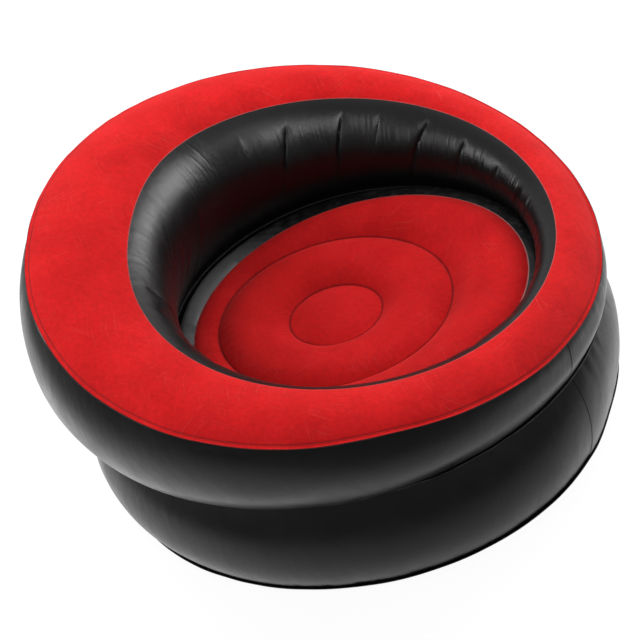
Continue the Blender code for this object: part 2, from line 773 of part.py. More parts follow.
def build():
    """Make every piece of the chair."""
    clear_scene()
    finish = {
        "red": make_material("red_flock", (0.62, 0.018, 0.022), 0.85),
        "black": make_material("black_pvc", (0.012, 0.012, 0.013), 0.38),
        "grey": make_material("grey_plastic", (0.10, 0.10, 0.105), 0.45),
        "clear": make_material("smoky_vinyl", (0.05, 0.05, 0.055), 0.3),
        "rubber": make_material("grey_rubber", (0.16, 0.16, 0.16), 0.7),
    }
    upper = upper_outer_rows()
    lower = lower_outer_rows()
    side = seat_side_rows()
    valve_station = VALVE_STEP - 1
    seat_station = SEAT_VALVE_STEP - 1
    upper_carrier = place_empty("upper_valve_place", upper, 1 + UPPER_ROWS // 2, valve_station)
    lower_carrier = place_empty("lower_valve_place", lower, 1 + LOWER_ROWS // 2, valve_station)
    seat_row = 1 + SEAT_ROWS + SHOULDER_ROWS // 2
    seat_carrier = place_empty("seat_valve_place", side, seat_row, seat_station)
    bpy.context.view_layer.update()

    top_panel(finish["red"])
    wall_with_hole("upper_outer_wall", upper, finish["black"], upper_carrier, neck_radius() + FIT)
    upper_inner_wall(finish["black"])
    ring_divider(finish["black"])
    wall_with_hole("lower_outer_wall", lower, finish["black"], lower_carrier, neck_radius() + FIT)
    lower_inner_wall(finish["black"])
    flat_disc("base_panel", np.full(STATIONS, BASE_REACH + BASE_FLANGE), 0, BASE_SHEET, finish["black"])

    seat_top_panel(finish["red"])
    wall_with_hole("seat_side_wall", side, finish["black"], seat_carrier,
                   SMALL_BORE + SMALL_STEM_WALL + FIT)
    flat_disc("seat_bottom_panel", seat_line()[0] + FLANGE, seat_floor(), SHEET, finish["black"])
    channel_band("seat_small_channel_band", SMALL_CHANNEL, waist_height() - SMALL_CHANNEL_DROP,
                 finish["black"])
    channel_band("seat_large_channel_band", large_channel(), waist_height() - LARGE_CHANNEL_DROP,
                 finish["black"])

    ring_valve("upper", upper_carrier, finish)
    ring_valve("lower", lower_carrier, finish)
    seat_valve(seat_carrier, finish)


build()
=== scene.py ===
"""Looks of a round inflatable lounge chair: red flocked top, black vinyl rings and a channelled seat.

Metres, +Z up. The sitter faces -Y. An angle round the chair is counted from the front, through +X, to
the back. Every panel is worked out as a grid of points: one row for each step along its cross section
and one column for each angle, and then gets the thickness of its sheet.
"""
import math

import bmesh
import bpy
import numpy as np
from mathutils import Matrix, Vector


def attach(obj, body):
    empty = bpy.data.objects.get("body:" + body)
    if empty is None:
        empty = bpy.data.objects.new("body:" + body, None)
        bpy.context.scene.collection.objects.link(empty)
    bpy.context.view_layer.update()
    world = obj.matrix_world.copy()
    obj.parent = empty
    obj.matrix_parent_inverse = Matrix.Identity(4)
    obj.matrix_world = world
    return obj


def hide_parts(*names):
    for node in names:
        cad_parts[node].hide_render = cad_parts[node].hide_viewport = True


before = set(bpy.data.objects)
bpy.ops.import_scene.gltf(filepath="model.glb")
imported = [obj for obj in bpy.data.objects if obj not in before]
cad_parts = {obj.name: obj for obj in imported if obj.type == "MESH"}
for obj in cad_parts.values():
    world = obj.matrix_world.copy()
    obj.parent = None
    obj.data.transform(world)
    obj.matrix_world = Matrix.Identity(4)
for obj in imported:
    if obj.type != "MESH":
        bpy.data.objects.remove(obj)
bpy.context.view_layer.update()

# Sheets, the gap between welded sheets, weld flanges, and the tails turned in at the mouth and the seat
SHEET = 0.0004
BASE_SHEET = 0.0005
WELD_GAP = 0.0003
FLANGE = 0.006
BASE_FLANGE = 0.0075
GROOVE_FLANGE = 0.008
RIM_FLANGE = 0.0045
RIM_UNDERLAP = 0.0006
WAIST_FLANGE = 0.002
TAIL = 0.006
SEAT_TAIL_TURN = math.radians(30)

# Height of a sheet that lies on the base, and way from the divider's middle to the outside of a wall's
# flange that is welded to it
ON_BASE = BASE_SHEET + WELD_GAP
BESIDE_DIVIDER = SHEET / 2 + WELD_GAP + SHEET

# Weld lines: radius and height, each as front, side, back and lean, or as one number all round
RIM = ((0.471, 0.552, 0.462, 0.010), (0.262, 0.391, 0.523, -0.003))
MOUTH = ((0.400, 0.423, 0.298, 0.003), (0.312, 0.392, 0.482, 0.0))
SEAT = ((0.344, 0.300, 0.269, 0.0), (0.241, 0.227, 0.208, 0.0))
WAIST = (0.380, 0.355, 0.309, 0.0)
WAIST_HEIGHT = 0.216
GROOVE_REACH = 0.456
GROOVE_HEIGHT = 0.182
BASE_REACH = 0.465

# How far the rim and the base weld are out of round: millimetres at every 15 degrees from the front
RIM_UNEVEN = (-4.5, -3.1, -1.4, -2.2, -4.8, -5.0, -2.8, 0.0, 0.0, -4.0, -5.0, -4.5,
              -1.5, -3.0, -4.2, -6.5, -5.6, -1.5, -2.0, -8.5, -3.1, -0.8, -3.5, -4.3)
BASE_UNEVEN = (-2.0, 0, 0, 0, 0, 0, 0, 0, 0, 0, 0, 0, 0, 0, 2.0, 2.5, 2.5, 3.0, 3.5, 6.0, 6.5, 5.0, 0, -5.0)

# Bulges of the walls, each as front, side, back and lean, and what the well wall adds to its bulge and
# its puff on its fuller side, with that side's angle. The upper wall's bulge makes up for a share of
# what the rim is drawn in.
UPPER_BULGE = (0.009, 0.035, 0.061, 0.0)
LOWER_BULGE = (0.021, 0.029, 0.037, 0.0)
WELL_BULGE = (0.028, 0.040, 0.050, 0.0)
WELL_PUFF = (0.010, 0.009, 0.034, 0.0)
WELL_FULLER = (0.0055, 0.010, math.radians(60))
RIM_MAKE_UP = 0.6

# Top band: its crown as a share of its width, and the line beside its weld as way from the rim, depth
# and width
CROWN_SHARE = 0.13
RIM_LINE = (0.0035, 0.0005, 0.0012)

# Seat: bulge of its side, shoulder with its power in front and behind, places beside the back where
# the shoulder rolls up, channels as radius and height, and puff of the rings as a share of their width
SEAT_BULGE = 0.010
SHOULDER_CLEARANCE = 0.0015
SHOULDER_DROP = (0.034, 0.030, 0.021, 0.0)
SHOULDER_POWER = (3.5, 4.5)
SHOULDER_ROLL = 0.0130
SHOULDER_SHARE = 0.8
BESIDE_BACK = (math.radians(23), math.radians(28))
CHANNEL_SETBACK = 0.009
SMALL_CHANNEL = (0.085, 0.195)
LARGE_CHANNEL = (0.214, 0.207)
PUFF_SHARE = 0.175

# Columns of points round the chair
WALL_COLUMNS = 720
WELL_COLUMNS = 1160
SEAT_COLUMNS = 640
HIDDEN_COLUMNS = 480
BAND_COLUMNS = 240

# Unevenness of the blown panels: folds at the first and at the last weld, each as count round the chair,
# seed, height and reach, and soft waves as height, count round, rows across and seed
TOP_FOLDS = ((190, 11, 0.0009, 0.022), (150, 13, 0.0008, 0.018), (0.0011, 26, 3, 15))
UPPER_FOLDS = ((210, 21, 0.0012, 0.026), (170, 23, 0.0008, 0.020), (0.0013, 22, 4, 25))
LOWER_FOLDS = ((230, 31, 0.0012, 0.022), (190, 33, 0.0012, 0.022), (0.0012, 24, 3, 35))
WELL_FOLDS = ((160, 51, 0.0005, 0.020), (170, 49, 0.0014, 0.030), (0.0012, 24, 3, 53))
SEAT_SIDE_FOLDS = ((150, 83, 0.0010, 0.030), (150, 81, 0.0009, 0.020), (0.0009, 20, 3, 85))
SEAT_TOP_FOLDS = ((120, 71, 0.0008, 0.020), (130, 73, 0.0007, 0.020))
LOWER_WELL_FOLDS = (110, 61, 0.0020, 0.050)
PUCKER_FADE = 0.004

# Waves of the flanges' edges, each as height, count round the chair and seed. The rim's flange also
# hangs down at the front and the back, and the base's is lifted off the floor.
RIM_WAVE = ((0.0006, 46, 3), (0.0004, 131, 4))
RIM_HANG = 0.0008
GROOVE_WAVE = ((0.0012, 38, 5), (0.0008, 117, 6))
BASE_WAVE = ((0.0010, 34, 7), (0.0005, 95, 8))
BASE_LIFT = 0.0015

# The base flange's narrowest place, as angle and width, the share cut off there and the dent above it,
# and its usual share of its full width
BASE_TRIM = (math.radians(346), math.radians(14))
BASE_TRIM_SHARE = 0.6
BASE_TRIM_DENT = 0.005
BASE_NARROW = 0.72

# Valves: place on the wall, way out, radius that the wall is flat on, and radius of its hole. Then the
# width of the fade round the flat, how far it lies below the plane, and how far from the plane a wall
# is still flattened and holed.
UPPER_VALVE = ((0.067788, 0.514533, 0.350023), (0.10997, 0.993603, -0.025682), 0.027, 0.0154)
LOWER_VALVE = ((0.064575, 0.490527, 0.092917), (0.132348, 0.989949, 0.04986), 0.027, 0.0154)
SEAT_VALVE = ((-0.321896, -0.086393, 0.23025), (-0.357826, -0.040254, 0.93292), 0.013, 0.0059)
FLAT_FADE = 0.030
FLAT_SINK = 0.0001
FLAT_DEEP = 0.05
HOLE_DEEP = 0.03

# Gathers of the well wall: angle at the top and bottom, shares down the wall, depth and width
GATHERS = (
    (104.0, 111.0, 0.22, 0.80, 0.0050, 0.0026),
    (87.8, 92.8, 0.19, 0.82, 0.0055, 0.0026),
    (77.3, 78.5, 0.20, 0.46, 0.0034, 0.0024),
    (63.5, 69.2, 0.16, 0.85, 0.0065, 0.0028),
    (50.6, 52.3, 0.24, 0.62, 0.0050, 0.0030),
    (36.0, 38.0, 0.28, 0.56, 0.0026, 0.0026),
    (24.0, 25.5, 0.30, 0.56, 0.0026, 0.0026),
    (119.6, 118.6, 0.18, 0.40, 0.0018, 0.0024),
    (136.8, 134.6, -0.04, 0.20, 0.0009, 0.0011),
    (139.4, 137.8, 0.08, 0.22, 0.0006, 0.0010),
    (150.0, 158.0, 0.40, 0.95, 0.0018, 0.0030),
    (166.0, 171.0, 0.50, 0.90, 0.0016, 0.0026),
    (174.0, 183.0, 0.42, 0.88, 0.0018, 0.0026),
    (178.0, 202.5, 0.24, 0.68, 0.0010, 0.0018),
    (187.0, 208.0, 0.30, 0.70, 0.0012, 0.0020),
    (201.0, 214.0, 0.36, 0.62, 0.0012, 0.0020),
)
HIDDEN_GATHERS = 13
HIDDEN_START = 212
HIDDEN_STEP = 11.2

# Small creases that fan out from the top of each gather: side, spread and size
FAN_CREASES = ((-1, 0.16, 0.11), (1, 0.20, 0.09), (-1, 0.36, 0.08), (1, 0.44, 0.07))

# Short ripples on the well wall's crest: height, and the angle where they are strongest
CREST_RIPPLE = 0.0015
CREST_ANGLE = math.radians(38)

# Curved creases of the upper outer wall: angle, share up the wall, span in degrees and bend
CRESCENTS = ((258.7, 0.945, 2.2, 0.010), (263.2, 0.938, 1.5, -0.008),
             (262.0, 0.958, 1.2, 0.006), (118.0, 0.95, 2.0, 0.01))
CRESCENT_DEPTH = 0.0013
CRESCENT_WIDTH = 0.009

# Lap seams of the outer walls: angle of the step, width over which the sheet sinks back beside it. Then
# the step's height, half its width, its fade at the groove, the turns of the close columns beside it
# and how far the even ones stay away.
UPPER_LAP = (326.2, 0.05)
LOWER_LAP = (329.8, 0.05)
LAP_STEP = 0.0008
LAP_EDGE = 0.0005
LAP_FADE = 0.006
LAP_COLUMNS = np.array((-0.003, -0.0008, 0.0008, 0.003))
LAP_CLEAR = 0.0035


# Camera: the photograph's place, as turn round the chair, height angle, roll, distance, slide across
# the view, and lens
CAMERA_TURN = math.radians(-75)
CAMERA_RISE = math.radians(36.5)
CAMERA_ROLL = math.radians(17)
CAMERA_DISTANCE = 2.85
CAMERA_SLIDE = (-0.0835, 0.1394)
CAMERA_LENS = 86.06


def add_object(name, data):
    """A new object in the scene that holds the data."""
    thing = bpy.data.objects.new(name, data)
    bpy.context.scene.collection.objects.link(thing)
    return thing


def make_camera():
    """The photograph's camera: it looks at the origin from its turn and rise, is rolled about its own
    way of looking and then slid across it."""
    flat_right = Vector((math.cos(CAMERA_TURN), math.sin(CAMERA_TURN), 0))
    back = Vector((math.sin(CAMERA_TURN) * math.cos(CAMERA_RISE),
                   -math.cos(CAMERA_TURN) * math.cos(CAMERA_RISE), math.sin(CAMERA_RISE)))
    flat_up = back.cross(flat_right)
    right = flat_right * math.cos(CAMERA_ROLL) - flat_up * math.sin(CAMERA_ROLL)
    up = flat_right * math.sin(CAMERA_ROLL) + flat_up * math.cos(CAMERA_ROLL)
    data = bpy.data.cameras.new("photo_camera")
    data.lens = CAMERA_LENS
    data.sensor_width = 36
    data.clip_start = 0.05
    data.clip_end = 60
    camera = add_object("photo_camera", data)
    turn = Matrix((right, up, back)).transposed().to_4x4()
    place = back * CAMERA_DISTANCE + right * CAMERA_SLIDE[0] + up * CAMERA_SLIDE[1]
    camera.matrix_world = Matrix.Translation(place) @ turn
    bpy.context.scene.camera = camera


make_camera()


# Numbers that vary smoothly round the chair
def around(angle, sizes):
    """A size at each angle: mean plus swing times the cosine, oval times the cosine of twice the angle
    and lean times the cosine of three times the angle."""
    front, side, back, lean = sizes
    mean = (front + back + 2 * side) / 4
    swing = (front - back) / 2 - lean
    oval = (front + back - 2 * side) / 4
    return mean + swing * np.cos(angle) + oval * np.cos(2 * angle) + lean * np.cos(3 * angle)


def smooth(value, low, high):
    """0 below low, 1 above high, and the cubic 3t^2 - 2t^3 between them."""
    share = np.clip((value - low) / (high - low), 0, 1)
    return share * share * (3 - 2 * share)


def hump(value, centre, width):
    """The bell curve exp(-((value - centre) / width)^2)."""
    return np.exp(-((value - centre) / width) ** 2)


def joined(angle, heights):
    """Heights at even knots round the circle, the first at the front, joined by cubics."""
    heights = np.asarray(heights)
    count = len(heights)
    place = (angle / (2 * math.pi) % 1) * count
    left = np.floor(place).astype(int)
    share = place - left
    share = share * share * (3 - 2 * share)
    return heights[left % count] * (1 - share) + heights[(left + 1) % count] * share


def ripple(angle, count, seed):
    """Even noise round the circle, from -1 to 1: random heights at count knots."""
    return joined(angle, np.random.default_rng(seed).uniform(-1, 1, count))


def swell(angle, share, across, rows, seed):
    """Even noise on a panel, from -1 to 1: one ripple for each knot row, joined by cubics."""
    place = np.clip(share, 0, 0.9999) * rows
    total = 0
    for knot in range(rows + 1):
        near = np.clip(1 - np.abs(place - knot), 0, 1)
        total = total + near * near * (3 - 2 * near) * ripple(angle, across, seed + knot)
    return total


def turn_between(angle, centre):
    """The angle from centre to angle, taken the short way round, in radians."""
    return (angle - centre + math.pi) % (2 * math.pi) - math.pi


def columns(count, laps=(), close=None):
    """Angles of the columns: even steps, and close ones at both edges of each lap seam. close is a range
    of degrees that gets twice as many columns as the rest of the circle for its size."""
    angles = np.arange(count) * (2 * math.pi / count)
    if close:
        low, high = close
        weight = 360 + high - low
        knots = np.array((0, low, 2 * high - low, weight)) / weight
        angles = np.radians(np.interp(np.arange(count) / count, knots, (0, low, high, 360)))
    for turn, width in laps:
        for edge in (0, width):
            at = math.radians(turn) + edge / GROOVE_REACH
            angles = angles[np.abs(turn_between(angles, at)) > LAP_CLEAR]
            angles = np.append(angles, at + LAP_COLUMNS)
    return np.sort(angles)


# Grids of points
def ring_points(angle, radius, height):
    """Points at (radius sin a, -radius cos a, height)."""
    angle, radius, height = np.broadcast_arrays(angle, radius, height)
    return np.stack([radius * np.sin(angle), -radius * np.cos(angle), height], axis=-1)


def arc(start, end, bulge, share):
    """Radius and height on the circle arc from start to end, blown out by bulge to the right of it.

    With half = 2 atan(2 bulge / chord), a share of the arc lies at the turn half (2 share - 1).
    """
    chord = np.hypot(end[0] - start[0], end[1] - start[1])
    along_r = (end[0] - start[0]) / chord
    along_z = (end[1] - start[1]) / chord
    half = 2 * np.arctan2(2 * bulge, chord)
    size = chord / (2 * np.sin(half))
    turn = half * (2 * share[:, None] - 1)
    along = size * np.sin(turn)
    out = size * (np.cos(turn) - np.cos(half))
    radius = (start[0] + end[0]) / 2 + along_r * along + along_z * out
    height = (start[1] + end[1]) / 2 + along_z * along - along_r * out
    return radius, height


def normals(grid):
    """Outward unit normals of a grid: the cross product of the steps round and across."""
    round_step = np.roll(grid, -1, axis=1) - np.roll(grid, 1, axis=1)
    across_step = np.gradient(grid, axis=0)
    cross = np.cross(round_step, across_step)
    return cross / np.maximum(np.linalg.norm(cross, axis=-1, keepdims=True), 1e-12)


def proud(grid, height):
    """The grid moved out along its normals by height."""
    return grid + normals(grid) * height[..., None]


def row_ways(grid):
    """Metres from the first row and from the last row, measured along each column."""
    steps = np.linalg.norm(np.diff(grid, axis=0), axis=-1)
    first = np.concatenate([np.zeros((1, grid.shape[1])), np.cumsum(steps, axis=0)])
    return first, first[-1:] - first


def from_valve(points, valve):
    """A valve's place and way out, and each point's height over its plane and offset across it."""
    place = np.array(valve[0])
    way = np.array(valve[1]) / np.linalg.norm(valve[1])
    offset = points - place
    height = offset @ way
    return place, way, height, offset - height[..., None] * way


def flatten_at(grid, valve):
    """Points near a valve's axis laid on the valve's plane, with a cubic fade out to the free wall."""
    _, way, height, across = from_valve(grid, valve)
    reach = np.linalg.norm(across, axis=-1)
    share = 1 - smooth(reach, valve[2], valve[2] + FLAT_FADE)
    share = share * (np.abs(height) < FLAT_DEEP)
    return grid - (share * (height + FLAT_SINK))[..., None] * way


def hole_faces(points, numbers, valve):
    """Which quads stay outside a valve's hole, with the points at the hole's edge set on its circle."""
    place, way, height, across = from_valve(points, valve)
    radius = valve[3]
    reach = np.linalg.norm(across, axis=-1)
    near = np.abs(height) < HOLE_DEEP
    inside = (reach[numbers] * near[numbers] + ~near[numbers]).mean(axis=1) < radius
    inside &= near[numbers].all(axis=1)
    edge = np.intersect1d(numbers[inside], numbers[~inside])
    points[edge] = place + height[edge, None] * way + across[edge] * (radius / reach[edge])[:, None]
    return numbers[~inside]


def grid_quads(numbers):
    """Quads between the rows of point numbers, closed round the circle."""
    right = np.roll(numbers, -1, axis=1)
    return np.stack([numbers[:-1], right[:-1], right[1:], numbers[1:]], axis=-1).reshape(-1, 4)


def open_edges(faces, count):
    """Directed edges of the faces that no other face runs along the other way."""
    edges = np.concatenate([np.stack([face, np.roll(face, -1, axis=1)], axis=-1).reshape(-1, 2)
                            for face in faces])
    forward = edges[:, 0] * count + edges[:, 1]
    backward = edges[:, 1] * count + edges[:, 0]
    return edges[~np.isin(forward, backward)]


def add_mesh(name, points, faces):
    """A mesh object with smooth faces, sharp where two of them meet at more than 40 degrees."""
    mesh = bpy.data.meshes.new(name)
    mesh.from_pydata(points.tolist(), [], faces)
    mesh.shade_smooth()
    mesh.set_sharp_from_angle(angle=math.radians(40))
    return add_object(name, mesh)


def sheet(name, node, grid, material, thickness=SHEET, valve=None, centre=None,
          marks=None):
    """A closed sheet in place of a node: the grid, its copy moved in by the thickness, and walls along
    every open edge.

    centre closes a disc with a fan. The attributes first and last hold the metres from the first and
    from the last row, and marks adds more.
    """
    inner = grid - normals(grid) * thickness
    rows, across = grid.shape[:2]
    count = rows * across
    numbers = np.arange(count).reshape(rows, across)
    first, last = row_ways(grid)
    values = {"first": first.ravel(), "last": last.ravel()}
    values.update({key: value.ravel() for key, value in (marks or {}).items()})
    quads = grid_quads(numbers)
    outer_points = grid.reshape(-1, 3).copy()
    inner_points = inner.reshape(-1, 3).copy()
    if valve:
        quads = hole_faces(outer_points, quads, valve)
        hole_faces(inner_points, grid_quads(numbers), valve)
    faces = [quads]
    if centre is not None:
        outer_points = np.vstack([outer_points, centre])
        inner_points = np.vstack([inner_points, np.array(centre) - (0, 0, thickness)])
        ends = numbers[-1]
        middle = np.full(across, count)
        faces.append(np.stack([ends, np.roll(ends, -1), middle], axis=-1))
        values = {key: np.append(value, value[-1]) for key, value in values.items()}
        count += 1
    edges = open_edges(faces, count)
    walls = np.stack([edges[:, 1], edges[:, 0], edges[:, 0] + count, edges[:, 1] + count], axis=-1)
    every = [walls.tolist()]
    for face in faces:
        every += [face.tolist(), (face[:, ::-1] + count).tolist()]
    piece = add_mesh(name, np.concatenate([outer_points, inner_points]), sum(every, []))
    for key, value in values.items():
        piece.data.attributes.new(key, "FLOAT", "POINT").data.foreach_set(
            "value", np.tile(value, 2).astype(np.float32))
    drop_loose(piece)
    piece.data.materials.append(material)
    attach(piece, "chair")
    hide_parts(node)
    return piece


def drop_loose(piece):
    """Delete the points inside a hole, which no face uses."""
    shape = bmesh.new()
    shape.from_mesh(piece.data)
    loose = [point for point in shape.verts if not point.link_faces]
    if loose:
        bmesh.ops.delete(shape, geom=loose, context="VERTS")
        shape.to_mesh(piece.data)
    shape.free()


# Node groups and materials
def new_group(name, inputs, outputs):
    """An empty shader node group with inputs (name, kind, value) and outputs (name, kind)."""
    tree = bpy.data.node_groups.new(name, "ShaderNodeTree")
    for label, kind, value in inputs:
        socket = tree.interface.new_socket(name=label, in_out="INPUT", socket_type="NodeSocket" + kind)
        socket.default_value = value
    for label, kind in outputs:
        tree.interface.new_socket(name=label, in_out="OUTPUT", socket_type="NodeSocket" + kind)
    return tree, tree.nodes.new("NodeGroupInput").outputs, tree.nodes.new("NodeGroupOutput").inputs


def add_node(tree, kind, values=None, **settings):
    """A shader node with its settings, and its sockets set to a value or linked to another's output."""
    node = tree.nodes.new("ShaderNode" + kind)
    for key, value in settings.items():
        setattr(node, key, value)
    for key, value in (values or {}).items():
        if isinstance(value, bpy.types.NodeSocket):
            tree.links.new(value, node.inputs[key])
        else:
            node.inputs[key].default_value = value
    return node


def noise(tree, vector, scale, detail=2.0, roughness=0.5):
    """The value of a noise texture."""
    return add_node(tree, "TexNoise", {"Vector": vector, "Scale": scale, "Detail": detail,
                                       "Roughness": roughness}).outputs[0]


def sums(tree, operation, first, second, clamp=False):
    """One Math node."""
    return add_node(tree, "Math", {0: first, 1: second}, operation=operation, use_clamp=clamp).outputs[0]


def mixture(tree, share, first, second):
    """The first value times share plus the second times the rest."""
    return sums(tree, "ADD", sums(tree, "MULTIPLY", first, share),
                sums(tree, "MULTIPLY", second, 1 - share))


def remap(tree, value, low, high, new_low=0.0, new_high=1.0):
    """The value taken from low..high to new_low..new_high, held at the ends."""
    return add_node(tree, "MapRange", {"Value": value, "From Min": low, "From Max": high,
                                       "To Min": new_low, "To Max": new_high}).outputs[0]


def blend_colours(tree, share, first, second):
    """The first colour turned into the second by share."""
    return add_node(tree, "Mix", {0: share, 6: first, 7: second}, data_type="RGBA").outputs[2]


def make_flock_group():
    """Short pile: mottled colour, pale strokes where it was brushed the other way, and a fine nap.

    Strokes are noise stretched 27 to 1 along three ways, bent by a wide noise and kept to patches.
    """
    tree, given, result = new_group("flocked_pile", [
        ("Colour", "Color", (0.6, 0.02, 0.02, 1)), ("Deep", "Color", (0.3, 0.01, 0.01, 1)),
        ("Stroke", "Color", (0.8, 0.1, 0.1, 1)), ("Strokes", "Float", 0.5)],
        [("Colour", "Color"), ("Roughness", "Float"), ("Height", "Float")])
    place = add_node(tree, "TexCoord").outputs["Object"]
    wander = add_node(tree, "TexNoise", {"Vector": place, "Scale": 6.0, "Detail": 1.0}).outputs[1]
    bend = add_node(tree, "VectorMath", {0: wander, 1: (0.06, 0.06, 0.06)}, operation="MULTIPLY")
    bent = add_node(tree, "VectorMath", {0: place, 1: bend.outputs[0]}, operation="ADD").outputs[0]
    strokes = None
    for turn, shift in ((18, 0.0), (74, 3.1), (137, 7.7)):
        along = add_node(tree, "Mapping", {"Vector": bent, "Location": (shift, shift, 0),
                                           "Rotation": (0, 0, math.radians(turn)),
                                           "Scale": (0.06, 0.0022, 0.06)}, vector_type="TEXTURE").outputs[0]
        line = remap(tree, noise(tree, along, 1.0, 1.0), 0.60, 0.82)
        patch = add_node(tree, "Mapping", {"Vector": place, "Location": (shift, 0, shift)}).outputs[0]
        patch = remap(tree, noise(tree, patch, 12.0, 1.0), 0.40, 0.68)
        line = sums(tree, "MULTIPLY", line, patch)
        strokes = line if strokes is None else sums(tree, "MAXIMUM", strokes, line)
    fine = noise(tree, place, 125.0, 4.0, 0.65)
    broad = noise(tree, place, 11.0, 3.0, 0.6)
    mottle = mixture(tree, 0.5, remap(tree, fine, 0.3, 0.7), remap(tree, broad, 0.3, 0.7))
    colour = blend_colours(tree, mottle, given["Deep"], given["Colour"])
    colour = blend_colours(tree, sums(tree, "MULTIPLY", strokes, given["Strokes"]), colour, given["Stroke"])
    nap = noise(tree, place, 1300.0)
    tree.links.new(colour, result["Colour"])
    tree.links.new(remap(tree, fine, 0.2, 0.8, 0.8, 0.98), result["Roughness"])
    tree.links.new(mixture(tree, 0.6, nap, strokes), result["Height"])
    return tree


def make_vinyl_group():
    """Vinyl sheet: smudges that change the gloss, faint dust, a fine grain and shallow stretch marks."""
    tree, given, result = new_group("vinyl_skin", [
        ("Colour", "Color", (0.012, 0.012, 0.013, 1)), ("Dust", "Color", (0.05, 0.05, 0.05, 1)),
        ("Dust share", "Float", 0.3), ("Gloss low", "Float", 0.3), ("Gloss high", "Float", 0.45)],
        [("Colour", "Color"), ("Roughness", "Float"), ("Height", "Float")])
    place = add_node(tree, "TexCoord").outputs["Object"]
    smudge = noise(tree, place, 16.0, 5.0, 0.62)
    speck = remap(tree, noise(tree, place, 420.0), 0.62, 0.8)
    cloud = remap(tree, noise(tree, place, 5.0, 3.0), 0.4, 0.75)
    dust = sums(tree, "MULTIPLY", sums(tree, "ADD", sums(tree, "MULTIPLY", speck, 0.6), cloud, True),
                given["Dust share"])
    rough = add_node(tree, "MapRange", {"Value": smudge, "From Min": 0.3, "From Max": 0.7,
                                        "To Min": given["Gloss low"], "To Max": given["Gloss high"]})
    stretched = add_node(tree, "Mapping", {"Vector": place, "Scale": (1, 1, 0.35)}).outputs[0]
    height = mixture(tree, 0.12, noise(tree, place, 1500.0), noise(tree, stretched, 70.0))
    tree.links.new(blend_colours(tree, dust, given["Colour"], given["Dust"]), result["Colour"])
    tree.links.new(rough.outputs[0], result["Roughness"])
    tree.links.new(height, result["Height"])
    return tree


def make_line_group():
    """A line along a weld: 1 where the metres from the weld are at place, falling to 0 at the width."""
    tree, given, result = new_group("weld_line", [
        ("Way", "Float", 0.0), ("Place", "Float", 0.0), ("Width", "Float", 0.001), ("Waver", "Float", 0.0)],
        [("Mask", "Float")])
    place = add_node(tree, "TexCoord").outputs["Object"]
    waver = sums(tree, "MULTIPLY", sums(tree, "SUBTRACT", noise(tree, place, 60.0, 1.0), 0.5),
                 given["Waver"])
    way = sums(tree, "ADD", sums(tree, "SUBTRACT", given["Way"], given["Place"]), waver)
    share = sums(tree, "DIVIDE", sums(tree, "ABSOLUTE", way, 0.0), given["Width"])
    tree.links.new(remap(tree, share, 0.4, 1.0, 1.0, 0.0), result["Mask"])
    return tree


FLOCK = make_flock_group()
VINYL = make_vinyl_group()
LINE = make_line_group()


def group_node(tree, group, values):
    """A node group in a material, with its sockets set or linked."""
    return add_node(tree, "Group", values, node_tree=group).outputs


def way_from(tree, name):
    """Metres from a weld, which the sheets keep as an attribute."""
    return add_node(tree, "Attribute", attribute_name=name).outputs["Fac"]


def new_material(name, constants):
    """A material with a Principled shader that has the given plain socket values."""
    material = bpy.data.materials.new(name)
    material.use_nodes = True
    shader = material.node_tree.nodes["Principled BSDF"]
    for key, value in constants.items():
        shader.inputs[key].default_value = value
    return material, material.node_tree, shader


def with_lines(tree, colour, lines):
    """The colour with lines along welds and channels and with painted highlights: (attribute, place, width,
    colour, share).
    """
    for attribute, place, width, tint, share in lines:
        mask = group_node(tree, LINE, {"Way": way_from(tree, attribute), "Place": place, "Width": width,
                                       "Waver": width * 0.6})["Mask"]
        colour = blend_colours(tree, sums(tree, "MULTIPLY", mask, share), colour, tint)
    return colour


def finish_material(tree, shader, skin, colour, depth):
    """Link the colour and a skin group's roughness to the shader, and the group's height through a Bump
    node of that depth."""
    bump = add_node(tree, "Bump", {"Height": skin["Height"], "Distance": depth, "Strength": 1.0})
    tree.links.new(colour, shader.inputs["Base Color"])
    tree.links.new(skin["Roughness"], shader.inputs["Roughness"])
    tree.links.new(bump.outputs[0], shader.inputs["Normal"])


def flock_material(name, painted_dimming, lines):
    """Red flock, with its tints divided by painted_dimming, which makes a darker copy as painted shade,
    and with lines along its welds and channels.
    """
    material, tree, shader = new_material(name, {"Sheen Weight": 0.08, "Sheen Roughness": 0.4,
                                                 "Sheen Tint": (1.0, 0.45, 0.42, 1),
                                                 "Specular IOR Level": 0.06})
    light, deep, stroke = (tuple(part / painted_dimming for part in tint) + (1,) for tint in FLOCK_TINTS)
    pile = group_node(tree, FLOCK, {"Colour": light, "Deep": deep, "Stroke": stroke, "Strokes": 0.19})
    finish_material(tree, shader, pile, with_lines(tree, pile["Colour"], lines), SHEET_BUMP)
    return material


def vinyl_material(name, lines=(), gloss=(0.26, 0.38)):
    """Black vinyl, with its gloss between two roughnesses and with lines along its welds."""
    material, tree, shader = new_material(name, {"Specular IOR Level": 0.27})
    skin = group_node(tree, VINYL, {"Colour": VINYL_BLACK, "Dust": VINYL_DUST, "Dust share": 0.10,
                                    "Gloss low": gloss[0], "Gloss high": gloss[1]})
    finish_material(tree, shader, skin, with_lines(tree, skin["Colour"], lines), SHEET_BUMP)
    return material


def moulded_material(name, colour, gloss):
    """Moulded valve plastic with handling marks."""
    material, tree, shader = new_material(name, {"Specular IOR Level": 0.5})
    skin = group_node(tree, VINYL, {"Colour": (*colour, 1), "Dust": (*(part * 2 for part in colour), 1),
                                    "Dust share": 0.25, "Gloss low": gloss[0], "Gloss high": gloss[1]})
    finish_material(tree, shader, skin, skin["Colour"], MOULDED_BUMP)
    return material
